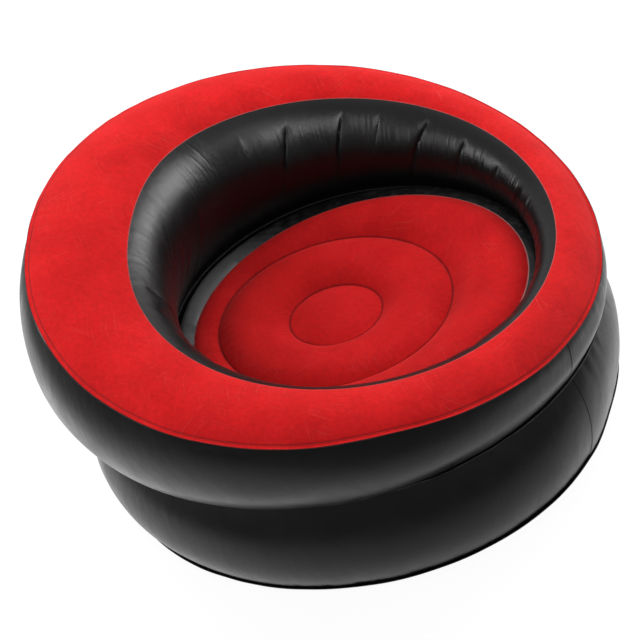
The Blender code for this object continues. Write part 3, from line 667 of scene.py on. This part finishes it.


# Colours of the flock as light, deep and stroke, of the vinyl, of the lines and of the painted highlights,
# and depths of the bump
FLOCK_TINTS = ((0.69, 0.0120, 0.0135), (0.44, 0.0050, 0.0060), (0.76, 0.115, 0.105))
VINYL_BLACK = (0.0042, 0.0042, 0.0046, 1)
VINYL_DUST = (0.022, 0.022, 0.023, 1)
PALE_EDGE = (0.30, 0.15, 0.15, 1)
# Pale pink of the seat's edge weld, made brighter than the top's pale edge as a painted highlight
PINK_WELD_AND_HIGHLIGHT = (0.60, 0.32, 0.32, 1)
DARK_EDGE = (0.13, 0.005, 0.006, 1)
MAROON_EDGE = (0.13, 0.014, 0.014, 1)
GREY_EDGE = (0.09, 0.09, 0.095, 1)
# Grey of the painted highlights along the waist flange
PAINTED_GLINT_GREY = (0.22, 0.21, 0.21, 1)
# Grey of the painted highlight on the seat side's rolled shoulder beside the back
PAINTED_HIGHLIGHT_GREY = (0.075, 0.075, 0.078, 1)
SHEET_BUMP = 0.0006
MOULDED_BUMP = 0.0001

TOP_FLOCK = flock_material("red_flock_top", 1.0, (("last", TAIL + 0.0002, 0.0014, PALE_EDGE, 0.5),
                                                  ("first", 0.0, 0.0014, MAROON_EDGE, 0.9),
                                                  ("first", RIM_FLANGE + RIM_LINE[0], 0.0018, MAROON_EDGE,
                                                   0.55)))
# The seat's flock is the top's flock darkened by 1.18: painted shade for the seat lying deep in the well.
SHADED_SEAT_FLOCK = flock_material("red_flock_seat_painted_shade", 1.18, (("first", TAIL, 0.0024, PINK_WELD_AND_HIGHLIGHT, 0.8),
                                                     ("channel", 0.0, 0.0030, DARK_EDGE, 0.7)))
WALL_VINYL = vinyl_material("black_vinyl", (("first", 0.0, 0.0012, GREY_EDGE, 0.8),
                                            ("last", 0.0, 0.0012, GREY_EDGE, 0.15)))
# The seat side's rolled shoulder beside the back is painted light grey: a painted highlight.
SEAT_VINYL = vinyl_material("black_vinyl_seat_painted_highlight", (("first", 0.0, 0.0012, GREY_EDGE, 0.8),
                                                 ("last", TAIL, 0.0012, GREY_EDGE, 0.5),
                                                 ("painted_highlight", 1.0, 1.0, PAINTED_HIGHLIGHT_GREY, 1.0)))
# The two light lines at the waist flange's edge and at its weld are painted highlights.
WELL_VINYL = vinyl_material("black_vinyl_well", (("first", TAIL, 0.0008, GREY_EDGE, 0.2),
                                                 ("last", 0.0, 0.0008, PAINTED_GLINT_GREY, 0.3),
                                                 ("last", WAIST_FLANGE, 0.0007, PAINTED_GLINT_GREY, 0.3)),
                            (0.28, 0.38))
HIDDEN_VINYL = vinyl_material("black_vinyl_inside")


# Folds, waves and flanges
def patchy(angle, count, seed):
    """How strong folds are from place to place, from 0.35 to 1."""
    return 0.35 + 0.65 * np.abs(ripple(angle, count, seed))


def puckers(angle, way, count, seed, height, reach):
    """Small folds that start at a weld: noise round the chair times height, times exp(-way / reach),
    and faded out right at the weld, where the sheets stay together."""
    return (height * np.exp(-way / reach) * (1 - np.exp(-way / PUCKER_FADE))
            * patchy(angle, 17, seed + 1) * ripple(angle, count, seed))


def unevenness(angle, share, ways, folds):
    """Height of a blown panel's folds at both welds, ways away, and of its waves times sin(pi share)."""
    share = share[:, None]
    height, across, rows, seed = folds[2]
    return (puckers(angle, ways[0], *folds[0]) + puckers(angle, ways[1], *folds[1])
            + height * swell(angle, share, across, rows, seed) * np.sin(math.pi * share))


def edge_wave(angle, ripples):
    """How far a flange's edge stands up or down: the sum of a few ripples."""
    return sum(height * ripple(angle, count, seed) for height, count, seed in ripples)


def rim_wave(angle):
    """The wave of the rim's flange, which hangs down at the front and at the back."""
    hanging = smooth(np.abs(np.cos(angle - math.radians(10))), 0.5, 0.9)
    return edge_wave(angle, RIM_WAVE) - RIM_HANG * hanging


def groove_wave(angle):
    """The wave of the flange in the groove."""
    return edge_wave(angle, GROOVE_WAVE)


def base_wave(angle):
    """The wave of the base flange, which only lifts off the floor."""
    return BASE_LIFT + edge_wave(angle, BASE_WAVE)


def near_trim(angle):
    """1 where the base flange is narrowest, falling to 0 as a bell curve."""
    return hump(turn_between(angle, BASE_TRIM[0]), 0, BASE_TRIM[1])


def base_flange(angle):
    """Width of the base flange: BASE_NARROW of its full width, with wider places where a ripple is high,
    and narrowest at BASE_TRIM."""
    wide = smooth(ripple(angle, 11, 9), 0.05, 0.65)
    return BASE_FLANGE * (BASE_NARROW + (1 - BASE_NARROW) * wide) * (1 - BASE_TRIM_SHARE * near_trim(angle))


def flange_rows(angle, radius, height, width, wave, outward):
    """Three rows of a flange, from its edge to the weld, or from the weld out, with the wave growing to
    the edge as share^2."""
    share = np.array((1.0, 0.66, 0.33) if outward else (0.33, 0.66, 1.0))[:, None]
    return ring_points(angle, radius + width * share, height + wave * share ** 2)


def line_of(angle, sizes):
    """Radius and height of a weld line."""
    return around(angle, sizes[0]), around(angle, sizes[1])


def rim_of(angle):
    """Radius and height of the rim, which is out of round by RIM_UNEVEN millimetres."""
    radius, height = line_of(angle, RIM)
    return radius + 0.001 * joined(angle, RIM_UNEVEN), height


def base_of(angle):
    """Radius of the base weld, which is out of round by BASE_UNEVEN millimetres."""
    return BASE_REACH + 0.001 * joined(angle, BASE_UNEVEN)


def waist_of(angle):
    """Radius of the weld between the two well walls."""
    return around(angle, WAIST)


# Rings
def top_panel():
    """Flocked band: flange, then an arc from the rim to the mouth with a crown of CROWN_SHARE of its
    width and a shallow dip along the line beside its weld, then a tail down into the mouth."""
    angle = columns(WALL_COLUMNS)
    rim = rim_of(angle)
    mouth = line_of(angle, MOUTH)
    width = np.hypot(rim[0] - mouth[0], rim[1] - mouth[1])
    share = np.concatenate([np.linspace(0, 0.045, 8), np.linspace(0.06, 1, 42)])
    grid = ring_points(angle, *arc(rim, mouth, width * CROWN_SHARE, share))
    ways = row_ways(grid)
    place, depth, spread = RIM_LINE
    grid = proud(grid, unevenness(angle, share, ways, TOP_FOLDS) - depth * hump(ways[0], place, spread))
    edge = flange_rows(angle, *rim, RIM_FLANGE, rim_wave(angle), True)
    tail = ring_points(angle, mouth[0], mouth[1] - TAIL)[None]
    piece = sheet("top_cover", "top_panel", np.concatenate([edge, grid, tail]), TOP_FLOCK)


def lap(angle, seam):
    """The step of a lap seam: 0 before its edge, then 1 within a millimetre, and back to 0 at its width."""
    turn, width = seam
    way = turn_between(angle, math.radians(turn)) * GROOVE_REACH
    return LAP_STEP * smooth(way, -LAP_EDGE, LAP_EDGE) * (1 - smooth(way, 0, width))


def crescent(angle, share):
    """Small curved creases in the upper outer wall just under the rim."""
    total = 0
    for turn, low, span, bend in CRESCENTS:
        away = turn_between(angle, math.radians(turn)) / math.radians(span)
        middle = low - bend * away ** 2
        total = total + np.exp(-np.abs(share - middle) / CRESCENT_WIDTH) * hump(away, 0, 1)
    return -CRESCENT_DEPTH * total


def upper_outer_wall():
    """Outer wall of the upper ring: an arc from the groove to the rim, with small folds at both welds,
    a lap seam and a soft unevenness. It is blown out a little further where the rim is drawn in."""
    angle = columns(WALL_COLUMNS, [UPPER_LAP])
    rim_r, rim_z = rim_of(angle)
    low = np.full_like(angle, GROOVE_HEIGHT + BESIDE_DIVIDER)
    high = rim_z - 2 * SHEET - WELD_GAP
    groove = np.full_like(angle, GROOVE_REACH)
    share = np.linspace(0, 1, 60)
    bulge = around(angle, UPPER_BULGE) + RIM_MAKE_UP * (line_of(angle, RIM)[0] - rim_r)
    grid = ring_points(angle, *arc((groove, low), (rim_r, high), bulge, share))
    ways = row_ways(grid)
    detail = unevenness(angle, share, ways, UPPER_FOLDS) + crescent(angle, share[:, None])
    detail += lap(angle, UPPER_LAP) * smooth(ways[0], 0, LAP_FADE)
    grid = flatten_at(proud(grid, detail), UPPER_VALVE)
    edge = flange_rows(angle, groove, low, GROOVE_FLANGE, groove_wave(angle), True)
    wave = rim_wave(angle) * (1 + RIM_UNDERLAP / RIM_FLANGE) ** 2
    top = flange_rows(angle, rim_r, high, RIM_FLANGE + RIM_UNDERLAP, wave, False)
    piece = sheet("upper_outer_skin", "upper_outer_wall", np.concatenate([edge, grid, top]), WALL_VINYL,
                  valve=UPPER_VALVE)


def lower_outer_wall():
    """Outer wall of the lower ring: an arc from the base to the groove, dented above BASE_TRIM."""
    angle = columns(WALL_COLUMNS, [LOWER_LAP])
    low = np.full_like(angle, ON_BASE + SHEET)
    high = np.full_like(angle, GROOVE_HEIGHT - BESIDE_DIVIDER)
    base = base_of(angle)
    groove = np.full_like(angle, GROOVE_REACH)
    share = np.linspace(0, 1, 46)
    bulge = around(angle, LOWER_BULGE) - BASE_TRIM_DENT * near_trim(angle)
    grid = ring_points(angle, *arc((base, low), (groove, high), bulge, share))
    ways = row_ways(grid)
    detail = unevenness(angle, share, ways, LOWER_FOLDS)
    detail += lap(angle, LOWER_LAP) * smooth(ways[1], 0, LAP_FADE)
    grid = flatten_at(proud(grid, detail), LOWER_VALVE)
    edge = flange_rows(angle, base, low, base_flange(angle), base_wave(angle), True)
    top = flange_rows(angle, groove, high, GROOVE_FLANGE, groove_wave(angle), False)
    piece = sheet("lower_outer_skin", "lower_outer_wall", np.concatenate([edge, grid, top]), WALL_VINYL,
                  valve=LOWER_VALVE)


def all_gathers():
    """The gathers that the photograph shows, and seeded ones of the same kind where it shows none."""
    luck = np.random.default_rng(41)
    found = list(GATHERS)
    for number in range(HIDDEN_GATHERS):
        turn = HIDDEN_START + number * HIDDEN_STEP + luck.uniform(-3, 3)
        found.append((turn, turn + luck.uniform(-6, 6), luck.uniform(0.12, 0.3), luck.uniform(0.5, 0.9),
                      luck.uniform(0.0015, 0.0045), luck.uniform(0.004, 0.006)))
    return found


def gather_depth(angle, share, radius):
    """How deep the well wall is drawn in: for each gather a crease -depth exp(-|s| / 0.8 width) in a dent
    -0.22 depth exp(-(s / 4 width)^2), with s the metres from its line, and small creases that fan out
    from its top."""
    total = np.zeros(np.broadcast(angle, share).shape)
    for start, end, high, low, depth, width in all_gathers():
        middle = np.radians(start + (end - start) * (share - high) / (low - high))
        away = turn_between(angle, middle) * radius
        strength = smooth(share, high - 0.05, high + 0.07) * (1 - 0.5 * smooth(share, high + 0.12, low))
        strength = strength * (1 - smooth(share, low, low + 0.12)) * smooth(share, 0, 0.03)
        crease = np.exp(-np.abs(away) / (0.8 * width)) + 0.22 * hump(away, 0, 4 * width)
        total -= depth * strength * crease
        below = share - high + 0.03
        for side, spread, size in FAN_CREASES:
            fan = away - side * (0.002 + spread * 0.25 * below)
            total -= depth * size * hump(below, 0.07, 0.055) * np.exp(-np.abs(fan) / 0.0016)
    return total


def crest_ripples(angle, share):
    """Short ripples on the well wall's crest, strongest round CREST_ANGLE: a bell curve down the wall
    times 0.6 - 1.6 |noise|^0.8, which stands up where the noise crosses 0."""
    front = 0.22 + 0.78 * smooth(np.cos(angle - CREST_ANGLE), 0.35, 0.85)
    crest = hump(share, 0.31 + 0.10 * front + 0.04 * ripple(angle, 31, 43), 0.15)
    folds = 0.6 - 1.6 * np.abs(ripple(angle + 0.05 * share, 290, 45)) ** 0.8
    return CREST_RIPPLE * crest * front * folds * patchy(angle, 60, 47)


def upper_inner_wall():
    """Well wall of the upper ring: an arc from the mouth to the waist that is drawn in along gathers,
    with short ripples on its crest. It is blown out a little above its middle and in below, by
    WELL_PUFF (cos(pi share) - 1 + 2 share), most at the back. The bulge and the puff are fuller on the
    side that WELL_FULLER names."""
    angle = columns(WELL_COLUMNS, close=(15, 215))
    fuller = np.cos(angle - WELL_FULLER[2])
    mouth_r, mouth_z = line_of(angle, MOUTH)
    start_r = mouth_r - WELD_GAP
    waist = waist_of(angle)
    low = np.full_like(angle, WAIST_HEIGHT + BESIDE_DIVIDER)
    share = np.concatenate([np.linspace(0, 0.10, 6), np.linspace(0.115, 0.52, 24), np.linspace(0.55, 1, 11)])
    across = share[:, None]
    grid = ring_points(angle, *arc((start_r, mouth_z), (waist, low),
                                   around(angle, WELL_BULGE) + WELL_FULLER[0] * fuller, share))
    detail = gather_depth(angle, across, np.linalg.norm(grid[..., :2], axis=-1))
    detail += crest_ripples(angle, across)
    puffed = around(angle, WELL_PUFF) + WELL_FULLER[1] * fuller
    detail += puffed * (np.cos(math.pi * across) - 1 + 2 * across)
    grid = proud(grid, detail + unevenness(angle, share, row_ways(grid), WELL_FOLDS))
    tail = ring_points(angle, start_r, mouth_z - TAIL)[None]
    edge = ring_points(angle, waist - WAIST_FLANGE, low)[None]
    piece = sheet("upper_well_skin", "upper_inner_wall", np.concatenate([tail, grid, edge]), WELL_VINYL)


def lower_inner_wall():
    """Well wall of the lower ring, upright behind the seat, with a flange at each end."""
    angle = columns(HIDDEN_COLUMNS)
    waist = waist_of(angle)
    high = WAIST_HEIGHT - BESIDE_DIVIDER
    share = np.linspace(0, 1, 24)[:, None]
    grid = ring_points(angle, waist, high + (ON_BASE - high) * share)
    grid = proud(grid, -np.abs(puckers(angle, np.minimum(*row_ways(grid)), *LOWER_WELL_FOLDS)))
    top = ring_points(angle, waist - WAIST_FLANGE, high)[None]
    bottom = ring_points(angle, waist + FLANGE, ON_BASE)[None]
    sheet("lower_well_skin", "lower_inner_wall", np.concatenate([top, grid, bottom]), HIDDEN_VINYL)


def ring_divider():
    """Sheet between the rings: the flange in the groove, a straight slope up to the waist and the flange
    there."""
    angle = columns(WALL_COLUMNS)
    low = GROOVE_HEIGHT + SHEET / 2
    high = WAIST_HEIGHT + SHEET / 2
    groove = np.full_like(angle, GROOVE_REACH)
    waist = waist_of(angle)
    edge = flange_rows(angle, groove, low, GROOVE_FLANGE, groove_wave(angle), True)
    outside = groove - SHEET - WELD_GAP
    inside = waist + SHEET + WELD_GAP
    share = np.linspace(0, 1, 6)[:, None]
    slope = ring_points(angle, outside + (inside - outside) * share, low + (high - low) * share)
    flange = ring_points(angle, waist - WAIST_FLANGE * np.linspace(0, 1, 3)[:, None], high)
    sheet("divider_sheet", "ring_divider", np.concatenate([edge, slope, flange]), WELL_VINYL)


def base_panel():
    """Round base sheet whose edge lifts with the lower wall's flange."""
    angle = columns(WALL_COLUMNS)
    reach = base_of(angle)
    edge = flange_rows(angle, reach, BASE_SHEET, base_flange(angle), base_wave(angle), True)
    share = np.array((0, 0.08, 0.3, 0.6, 0.9, 0.995))[:, None]
    inside = ring_points(angle, reach * (1 - share), BASE_SHEET)
    sheet("base_sheet", "base_panel", np.concatenate([edge, inside]), WALL_VINYL, thickness=BASE_SHEET,
          centre=(0, 0, BASE_SHEET))


# Seat
def channel_row(angle, channel):
    """Points round one of the seat's channels, whose centre lies behind the chair's middle."""
    return ring_points(angle, *channel) + (0, CHANNEL_SETBACK, 0)


def puff(start, end, share):
    """Rows between two rows, lifted by 1 - |2 share - 1|^2.5 times PUFF_SHARE of the way between them."""
    way = end - start
    width = np.linalg.norm(way[:, :2], axis=1)
    share = share[:, None, None]
    rows = start + way * share
    rows[..., 2] += PUFF_SHARE * width * (1 - np.abs(2 * share[..., 0] - 1) ** 2.5)
    return rows


def seat_tail(angle, radius, height):
    """The last row of a tail that turns down and in from the seat's edge weld."""
    return ring_points(angle, radius - TAIL * math.sin(SEAT_TAIL_TURN),
                       height - TAIL * math.cos(SEAT_TAIL_TURN))[None]


def seat_top():
    """Flocked seat: tail, edge weld, two puffed rings between the edge and its two channels, and a puffed
    middle that rises by PUFF_SHARE of its radius times 1 - (1 - share)^2.2."""
    angle = columns(SEAT_COLUMNS)
    seat_r, seat_z = line_of(angle, SEAT)
    edge = ring_points(angle, seat_r, seat_z)
    large = channel_row(angle, LARGE_CHANNEL)
    small = channel_row(angle, SMALL_CHANNEL)
    share = np.linspace(0, 1, 27)
    inner_share = np.linspace(0, 0.985, 16)[1:, None, None]
    rise = PUFF_SHARE * SMALL_CHANNEL[0]
    inner = small + (np.array((0, CHANNEL_SETBACK, SMALL_CHANNEL[1])) - small) * inner_share
    inner[..., 2] += rise * (1 - (1 - inner_share[..., 0]) ** 2.2)
    grid = np.concatenate([puff(edge, large, share), puff(large, small, share[1:]), inner])
    from_middle = np.linalg.norm(grid[..., :2] - (0, CHANNEL_SETBACK), axis=-1)
    channel = np.minimum(np.abs(from_middle - LARGE_CHANNEL[0]), np.abs(from_middle - SMALL_CHANNEL[0]))
    at_channel, at_edge = SEAT_TOP_FOLDS
    detail = puckers(angle, channel, *at_channel) + puckers(angle, row_ways(grid)[0], *at_edge)
    grid = proud(grid, detail * smooth(from_middle, 0.02, 0.06))
    grid = np.concatenate([seat_tail(angle, seat_r, seat_z), grid])
    piece = sheet("seat_cover", "seat_top_panel", grid, SHADED_SEAT_FLOCK,
                  centre=np.array((0, CHANNEL_SETBACK, SMALL_CHANNEL[1] + rise)),
                  marks={"channel": np.concatenate([channel[:1], channel])})


def seat_side():
    """Black side of the seat: bottom flange, an arc that leans out to the waist, the blown shoulder and
    a tail turned in. With w and d its width and drop, the shoulder is the quarter of the curve
    (x/w)^p + (y/d)^p = 1 from upright over to the edge weld, in even steps of the turn t where
    x/w = cos(t)^(2/p) and y/d = sin(t)^(2/p). Beside the back it rolls up towards the wall, by
    roll (1 - (1 - x/w)^2) (1 - (x/w)^8). painted_highlight is 1 where a light grey painted highlight
    lies on the rolled part, 0 elsewhere."""
    angle = columns(SEAT_COLUMNS)
    seat_r, seat_z = line_of(angle, SEAT)
    low = np.full_like(angle, ON_BASE + SHEET + WELD_GAP + SHEET)
    start_r = seat_r + WELD_GAP * math.cos(SEAT_TAIL_TURN)
    start_z = seat_z - WELD_GAP * math.sin(SEAT_TAIL_TURN)
    behind = smooth(-np.cos(angle), -0.2, 0.4)
    reach = waist_of(angle) - FLANGE + (FLANGE - WAIST_FLANGE) * behind - SHOULDER_CLEARANCE
    drop = around(angle, SHOULDER_DROP)
    side_share = np.linspace(0, 1, 28)
    side = ring_points(angle, *arc((seat_r, low), (reach, start_z - drop),
                                   np.full_like(angle, SEAT_BULGE), side_share))
    turn = np.linspace(0, math.pi / 2, 27)[1:, None]
    power = SHOULDER_POWER[0] + (SHOULDER_POWER[1] - SHOULDER_POWER[0]) * behind
    out = np.clip(np.cos(turn), 0, 1) ** (2 / power)
    up = np.sin(turn) ** (2 / power)
    beside = hump(np.abs(turn_between(angle, math.pi)), *BESIDE_BACK)
    roll = SHOULDER_ROLL * beside * (1 - (1 - out) ** 2) * (1 - out ** 8)
    shoulder = ring_points(angle, start_r + (reach - start_r) * out, start_z - drop * (1 - up) + roll)
    grid = np.concatenate([side, shoulder])
    ways = row_ways(grid)
    shoulder_share = SHOULDER_SHARE + (1 - SHOULDER_SHARE) * np.linspace(0, 1, 27)[1:]
    share = np.concatenate([side_share * SHOULDER_SHARE, shoulder_share])
    free = proud(grid, unevenness(angle, share, ways, SEAT_SIDE_FOLDS))
    grid = free + (flatten_at(free, SEAT_VALVE) - free) * smooth(ways[1], 0, 0.012)[..., None]
    edge = ring_points(angle, seat_r + FLANGE, low)[None]
    grid = np.concatenate([edge, grid, seat_tail(angle, start_r, start_z)])
    # Painted highlight: light grey on the rolled shoulder beside the back, strongest at the seat's edge and
    # fading out towards the wall.
    painted_highlight = np.zeros(grid.shape[:2])
    painted_highlight[-1 - len(out):-1] = beside * (1 - out ** 3)
    piece = sheet("seat_side_skin", "seat_side_wall", grid, SEAT_VINYL, valve=SEAT_VALVE,
                  marks={"painted_highlight": painted_highlight})


def seat_bottom():
    """Round bottom sheet of the seat."""
    angle = columns(HIDDEN_COLUMNS)
    reach = around(angle, SEAT[0]) + FLANGE
    share = np.array((0, 0.3, 0.7, 0.99))[:, None]
    top = ON_BASE + SHEET
    sheet("seat_bottom_sheet", "seat_bottom_panel", ring_points(angle, reach * (1 - share), top),
          HIDDEN_VINYL, centre=(0, 0, top))


def channel_band(name, channel, node):
    """Upright band that ties a channel of the seat down to its bottom sheet."""
    low = ON_BASE + SHEET + WELD_GAP
    high = channel[1] - 2 * SHEET - WELD_GAP
    height = low + (high - low) * np.linspace(0, 1, 12)[:, None]
    sheet(name, node, channel_row(columns(BAND_COLUMNS), (channel[0] + SHEET / 2, height)), HIDDEN_VINYL)


top_panel()
upper_outer_wall()
upper_inner_wall()
lower_outer_wall()
lower_inner_wall()
ring_divider()
base_panel()
seat_top()
seat_side()
seat_bottom()
channel_band("small_channel_band", SMALL_CHANNEL, "seat_small_channel_band")
channel_band("large_channel_band", LARGE_CHANNEL, "seat_large_channel_band")

# Valves keep their solids and get moulded finishes
MOULDED = {
    "base": moulded_material("smoky_vinyl", (0.045, 0.045, 0.05), (0.25, 0.38)),
    "insert": moulded_material("grey_plastic", (0.10, 0.10, 0.105), (0.35, 0.5)),
    "flap": moulded_material("grey_rubber", (0.16, 0.16, 0.16), (0.6, 0.75)),
}
MOULDED["cap"] = MOULDED["strap"] = MOULDED["insert"]
MOULDED["plug"] = MOULDED["base"]
for name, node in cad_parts.items():
    kind = name.split("_")[-1]
    if kind in MOULDED and "valve" in name:
        node.data.materials.clear()
        node.data.materials.append(MOULDED["base" if name == "seat_valve_flap" else kind])


# Floor: a white pool round its centre out to one reach, dim beyond the other. Greys of its matt colour
# and strengths of its glow as the camera sees it and as mirror and glass rays do, and the matt colour
# that lights the chair
POOL_CENTRE = (0.25, 0.26, 0)
POOL_REACH = (0.80, 1.25)
POOL_EDGE = 0.16
SEEN_GREY = 0.11
SEEN_GLOW = 0.93
MIRRORED_GREY = 0.50
MIRRORED_GLOW = 0.80
FLOOR_GREY = 0.82

# Dome: its light overhead and at the horizon on the near and far side, and the way to the far side
ZENITH_LIGHT = 0.48
NEAR_LIGHT = 0.22
FAR_LIGHT = 0.80
FAR_WAY = (0.94, 0.34, 0)

# Lamps: name, turn from +X and rise in degrees, side and glow. Cards only make highlights, and
# softboxes only light matt surfaces.
LAMP_DISTANCE = 3.0
LAMP_AIM = (0, 0, 0.3)
CARDS = (
    ("front_card", 248, 45, 1.15, 10.4),
    ("near_card", 214, 63, 1.5, 3.9),
    ("left_card", 82, 30, 1.15, 7.6),
    ("back_card", 128, 43, 1.6, 2.5),
    ("far_card", 317, 14, 1.2, 9.6),
    ("right_card", 284, 50, 1.3, 1.9),
)
SOFTBOXES = (
    ("left_softbox", 60, 50, 2.0, 3.7),
    ("back_softbox", 120, 22, 2.0, 2.2),
    ("front_softbox", 300, 50, 2.0, 2.25),
    ("far_softbox", 330, 22, 2.0, 4.1),
)


def grey(value):
    """An even grey."""
    return value, value, value, 1


def make_floor():
    """A wide white floor. The camera sees it lit to white, apart from the shadow. Mirror and glass rays
    see it near the chair as a white stage with the chair's shade on it, and further out they see it
    fade, as it does in a dim studio."""
    bpy.ops.mesh.primitive_plane_add(size=40)
    floor = bpy.context.object
    floor.name = "studio_floor"
    material = bpy.data.materials.new("studio_floor")
    material.use_nodes = True
    tree = material.node_tree
    tree.nodes.clear()
    light_path = add_node(tree, "LightPath")
    camera_ray = light_path.outputs["Is Camera Ray"]
    seen = sums(tree, "MAXIMUM", camera_ray, light_path.outputs["Is Glossy Ray"])
    seen = sums(tree, "MAXIMUM", seen, light_path.outputs["Is Transmission Ray"])
    place = add_node(tree, "TexCoord").outputs["Object"]
    reach = add_node(tree, "VectorMath", {0: place, 1: POOL_CENTRE}, operation="DISTANCE").outputs["Value"]
    pool = remap(tree, reach, *POOL_REACH, 1.0, POOL_EDGE)
    stage = blend_colours(tree, pool, grey(0), grey(MIRRORED_GREY))
    tint = blend_colours(tree, camera_ray, stage, grey(SEEN_GREY))
    strength = remap(tree, camera_ray, 0.0, 1.0, sums(tree, "MULTIPLY", pool, MIRRORED_GLOW), SEEN_GLOW)
    plain = add_node(tree, "BsdfDiffuse", {"Color": grey(FLOOR_GREY)})
    shaded = add_node(tree, "BsdfDiffuse", {"Color": tint})
    glow = add_node(tree, "Emission", {"Color": grey(1), "Strength": strength})
    white = add_node(tree, "AddShader", {0: shaded.outputs[0], 1: glow.outputs[0]})
    mixed = add_node(tree, "MixShader", {0: seen, 1: plain.outputs[0], 2: white.outputs[0]})
    output = tree.nodes.new("ShaderNodeOutputMaterial")
    tree.links.new(mixed.outputs[0], output.inputs["Surface"])
    floor.data.materials.append(material)


def make_world():
    """A soft dome whose horizon is dimmer on the near side; the camera sees it white."""
    world = bpy.data.worlds.new("studio_world")
    world.use_nodes = True
    bpy.context.scene.world = world
    tree = world.node_tree
    way = add_node(tree, "TexCoord").outputs["Generated"]
    height = add_node(tree, "SeparateXYZ", {"Vector": way}).outputs["Z"]
    far = add_node(tree, "VectorMath", {0: way, 1: FAR_WAY}, operation="DOT_PRODUCT").outputs["Value"]
    horizon = remap(tree, far, -0.2, 0.7, NEAR_LIGHT, FAR_LIGHT)
    dome = remap(tree, height, 0.0, 0.9, horizon, ZENITH_LIGHT)
    camera_ray = add_node(tree, "LightPath").outputs["Is Camera Ray"]
    background = tree.nodes["Background"]
    background.inputs["Color"].default_value = grey(1)
    tree.links.new(sums(tree, "MAXIMUM", dome, camera_ray), background.inputs["Strength"])


def area_lamp(name, turn, rise, size, glow, mirrored):
    """A square soft lamp of an even glow, at a turn from +X and a rise from the floor, that faces the
    chair; its power is pi times its area times its glow. A mirrored lamp only makes highlights, and
    the others only light matt surfaces."""
    data = bpy.data.lights.new(name, "AREA")
    data.size = size
    data.energy = math.pi * size ** 2 * glow
    lamp = add_object(name, data)
    turn, rise = math.radians(turn), math.radians(rise)
    way = Vector((math.cos(turn) * math.cos(rise), math.sin(turn) * math.cos(rise), math.sin(rise)))
    lamp.location = Vector(LAMP_AIM) + way * LAMP_DISTANCE
    lamp.rotation_euler = way.to_track_quat("Z", "Y").to_euler()
    lamp.visible_diffuse = not mirrored
    lamp.visible_glossy = mirrored


make_floor()
make_world()
for lamp in CARDS:
    area_lamp(*lamp, True)
for lamp in SOFTBOXES:
    area_lamp(*lamp, False)

scene = bpy.context.scene
scene.view_settings.view_transform = "Standard"
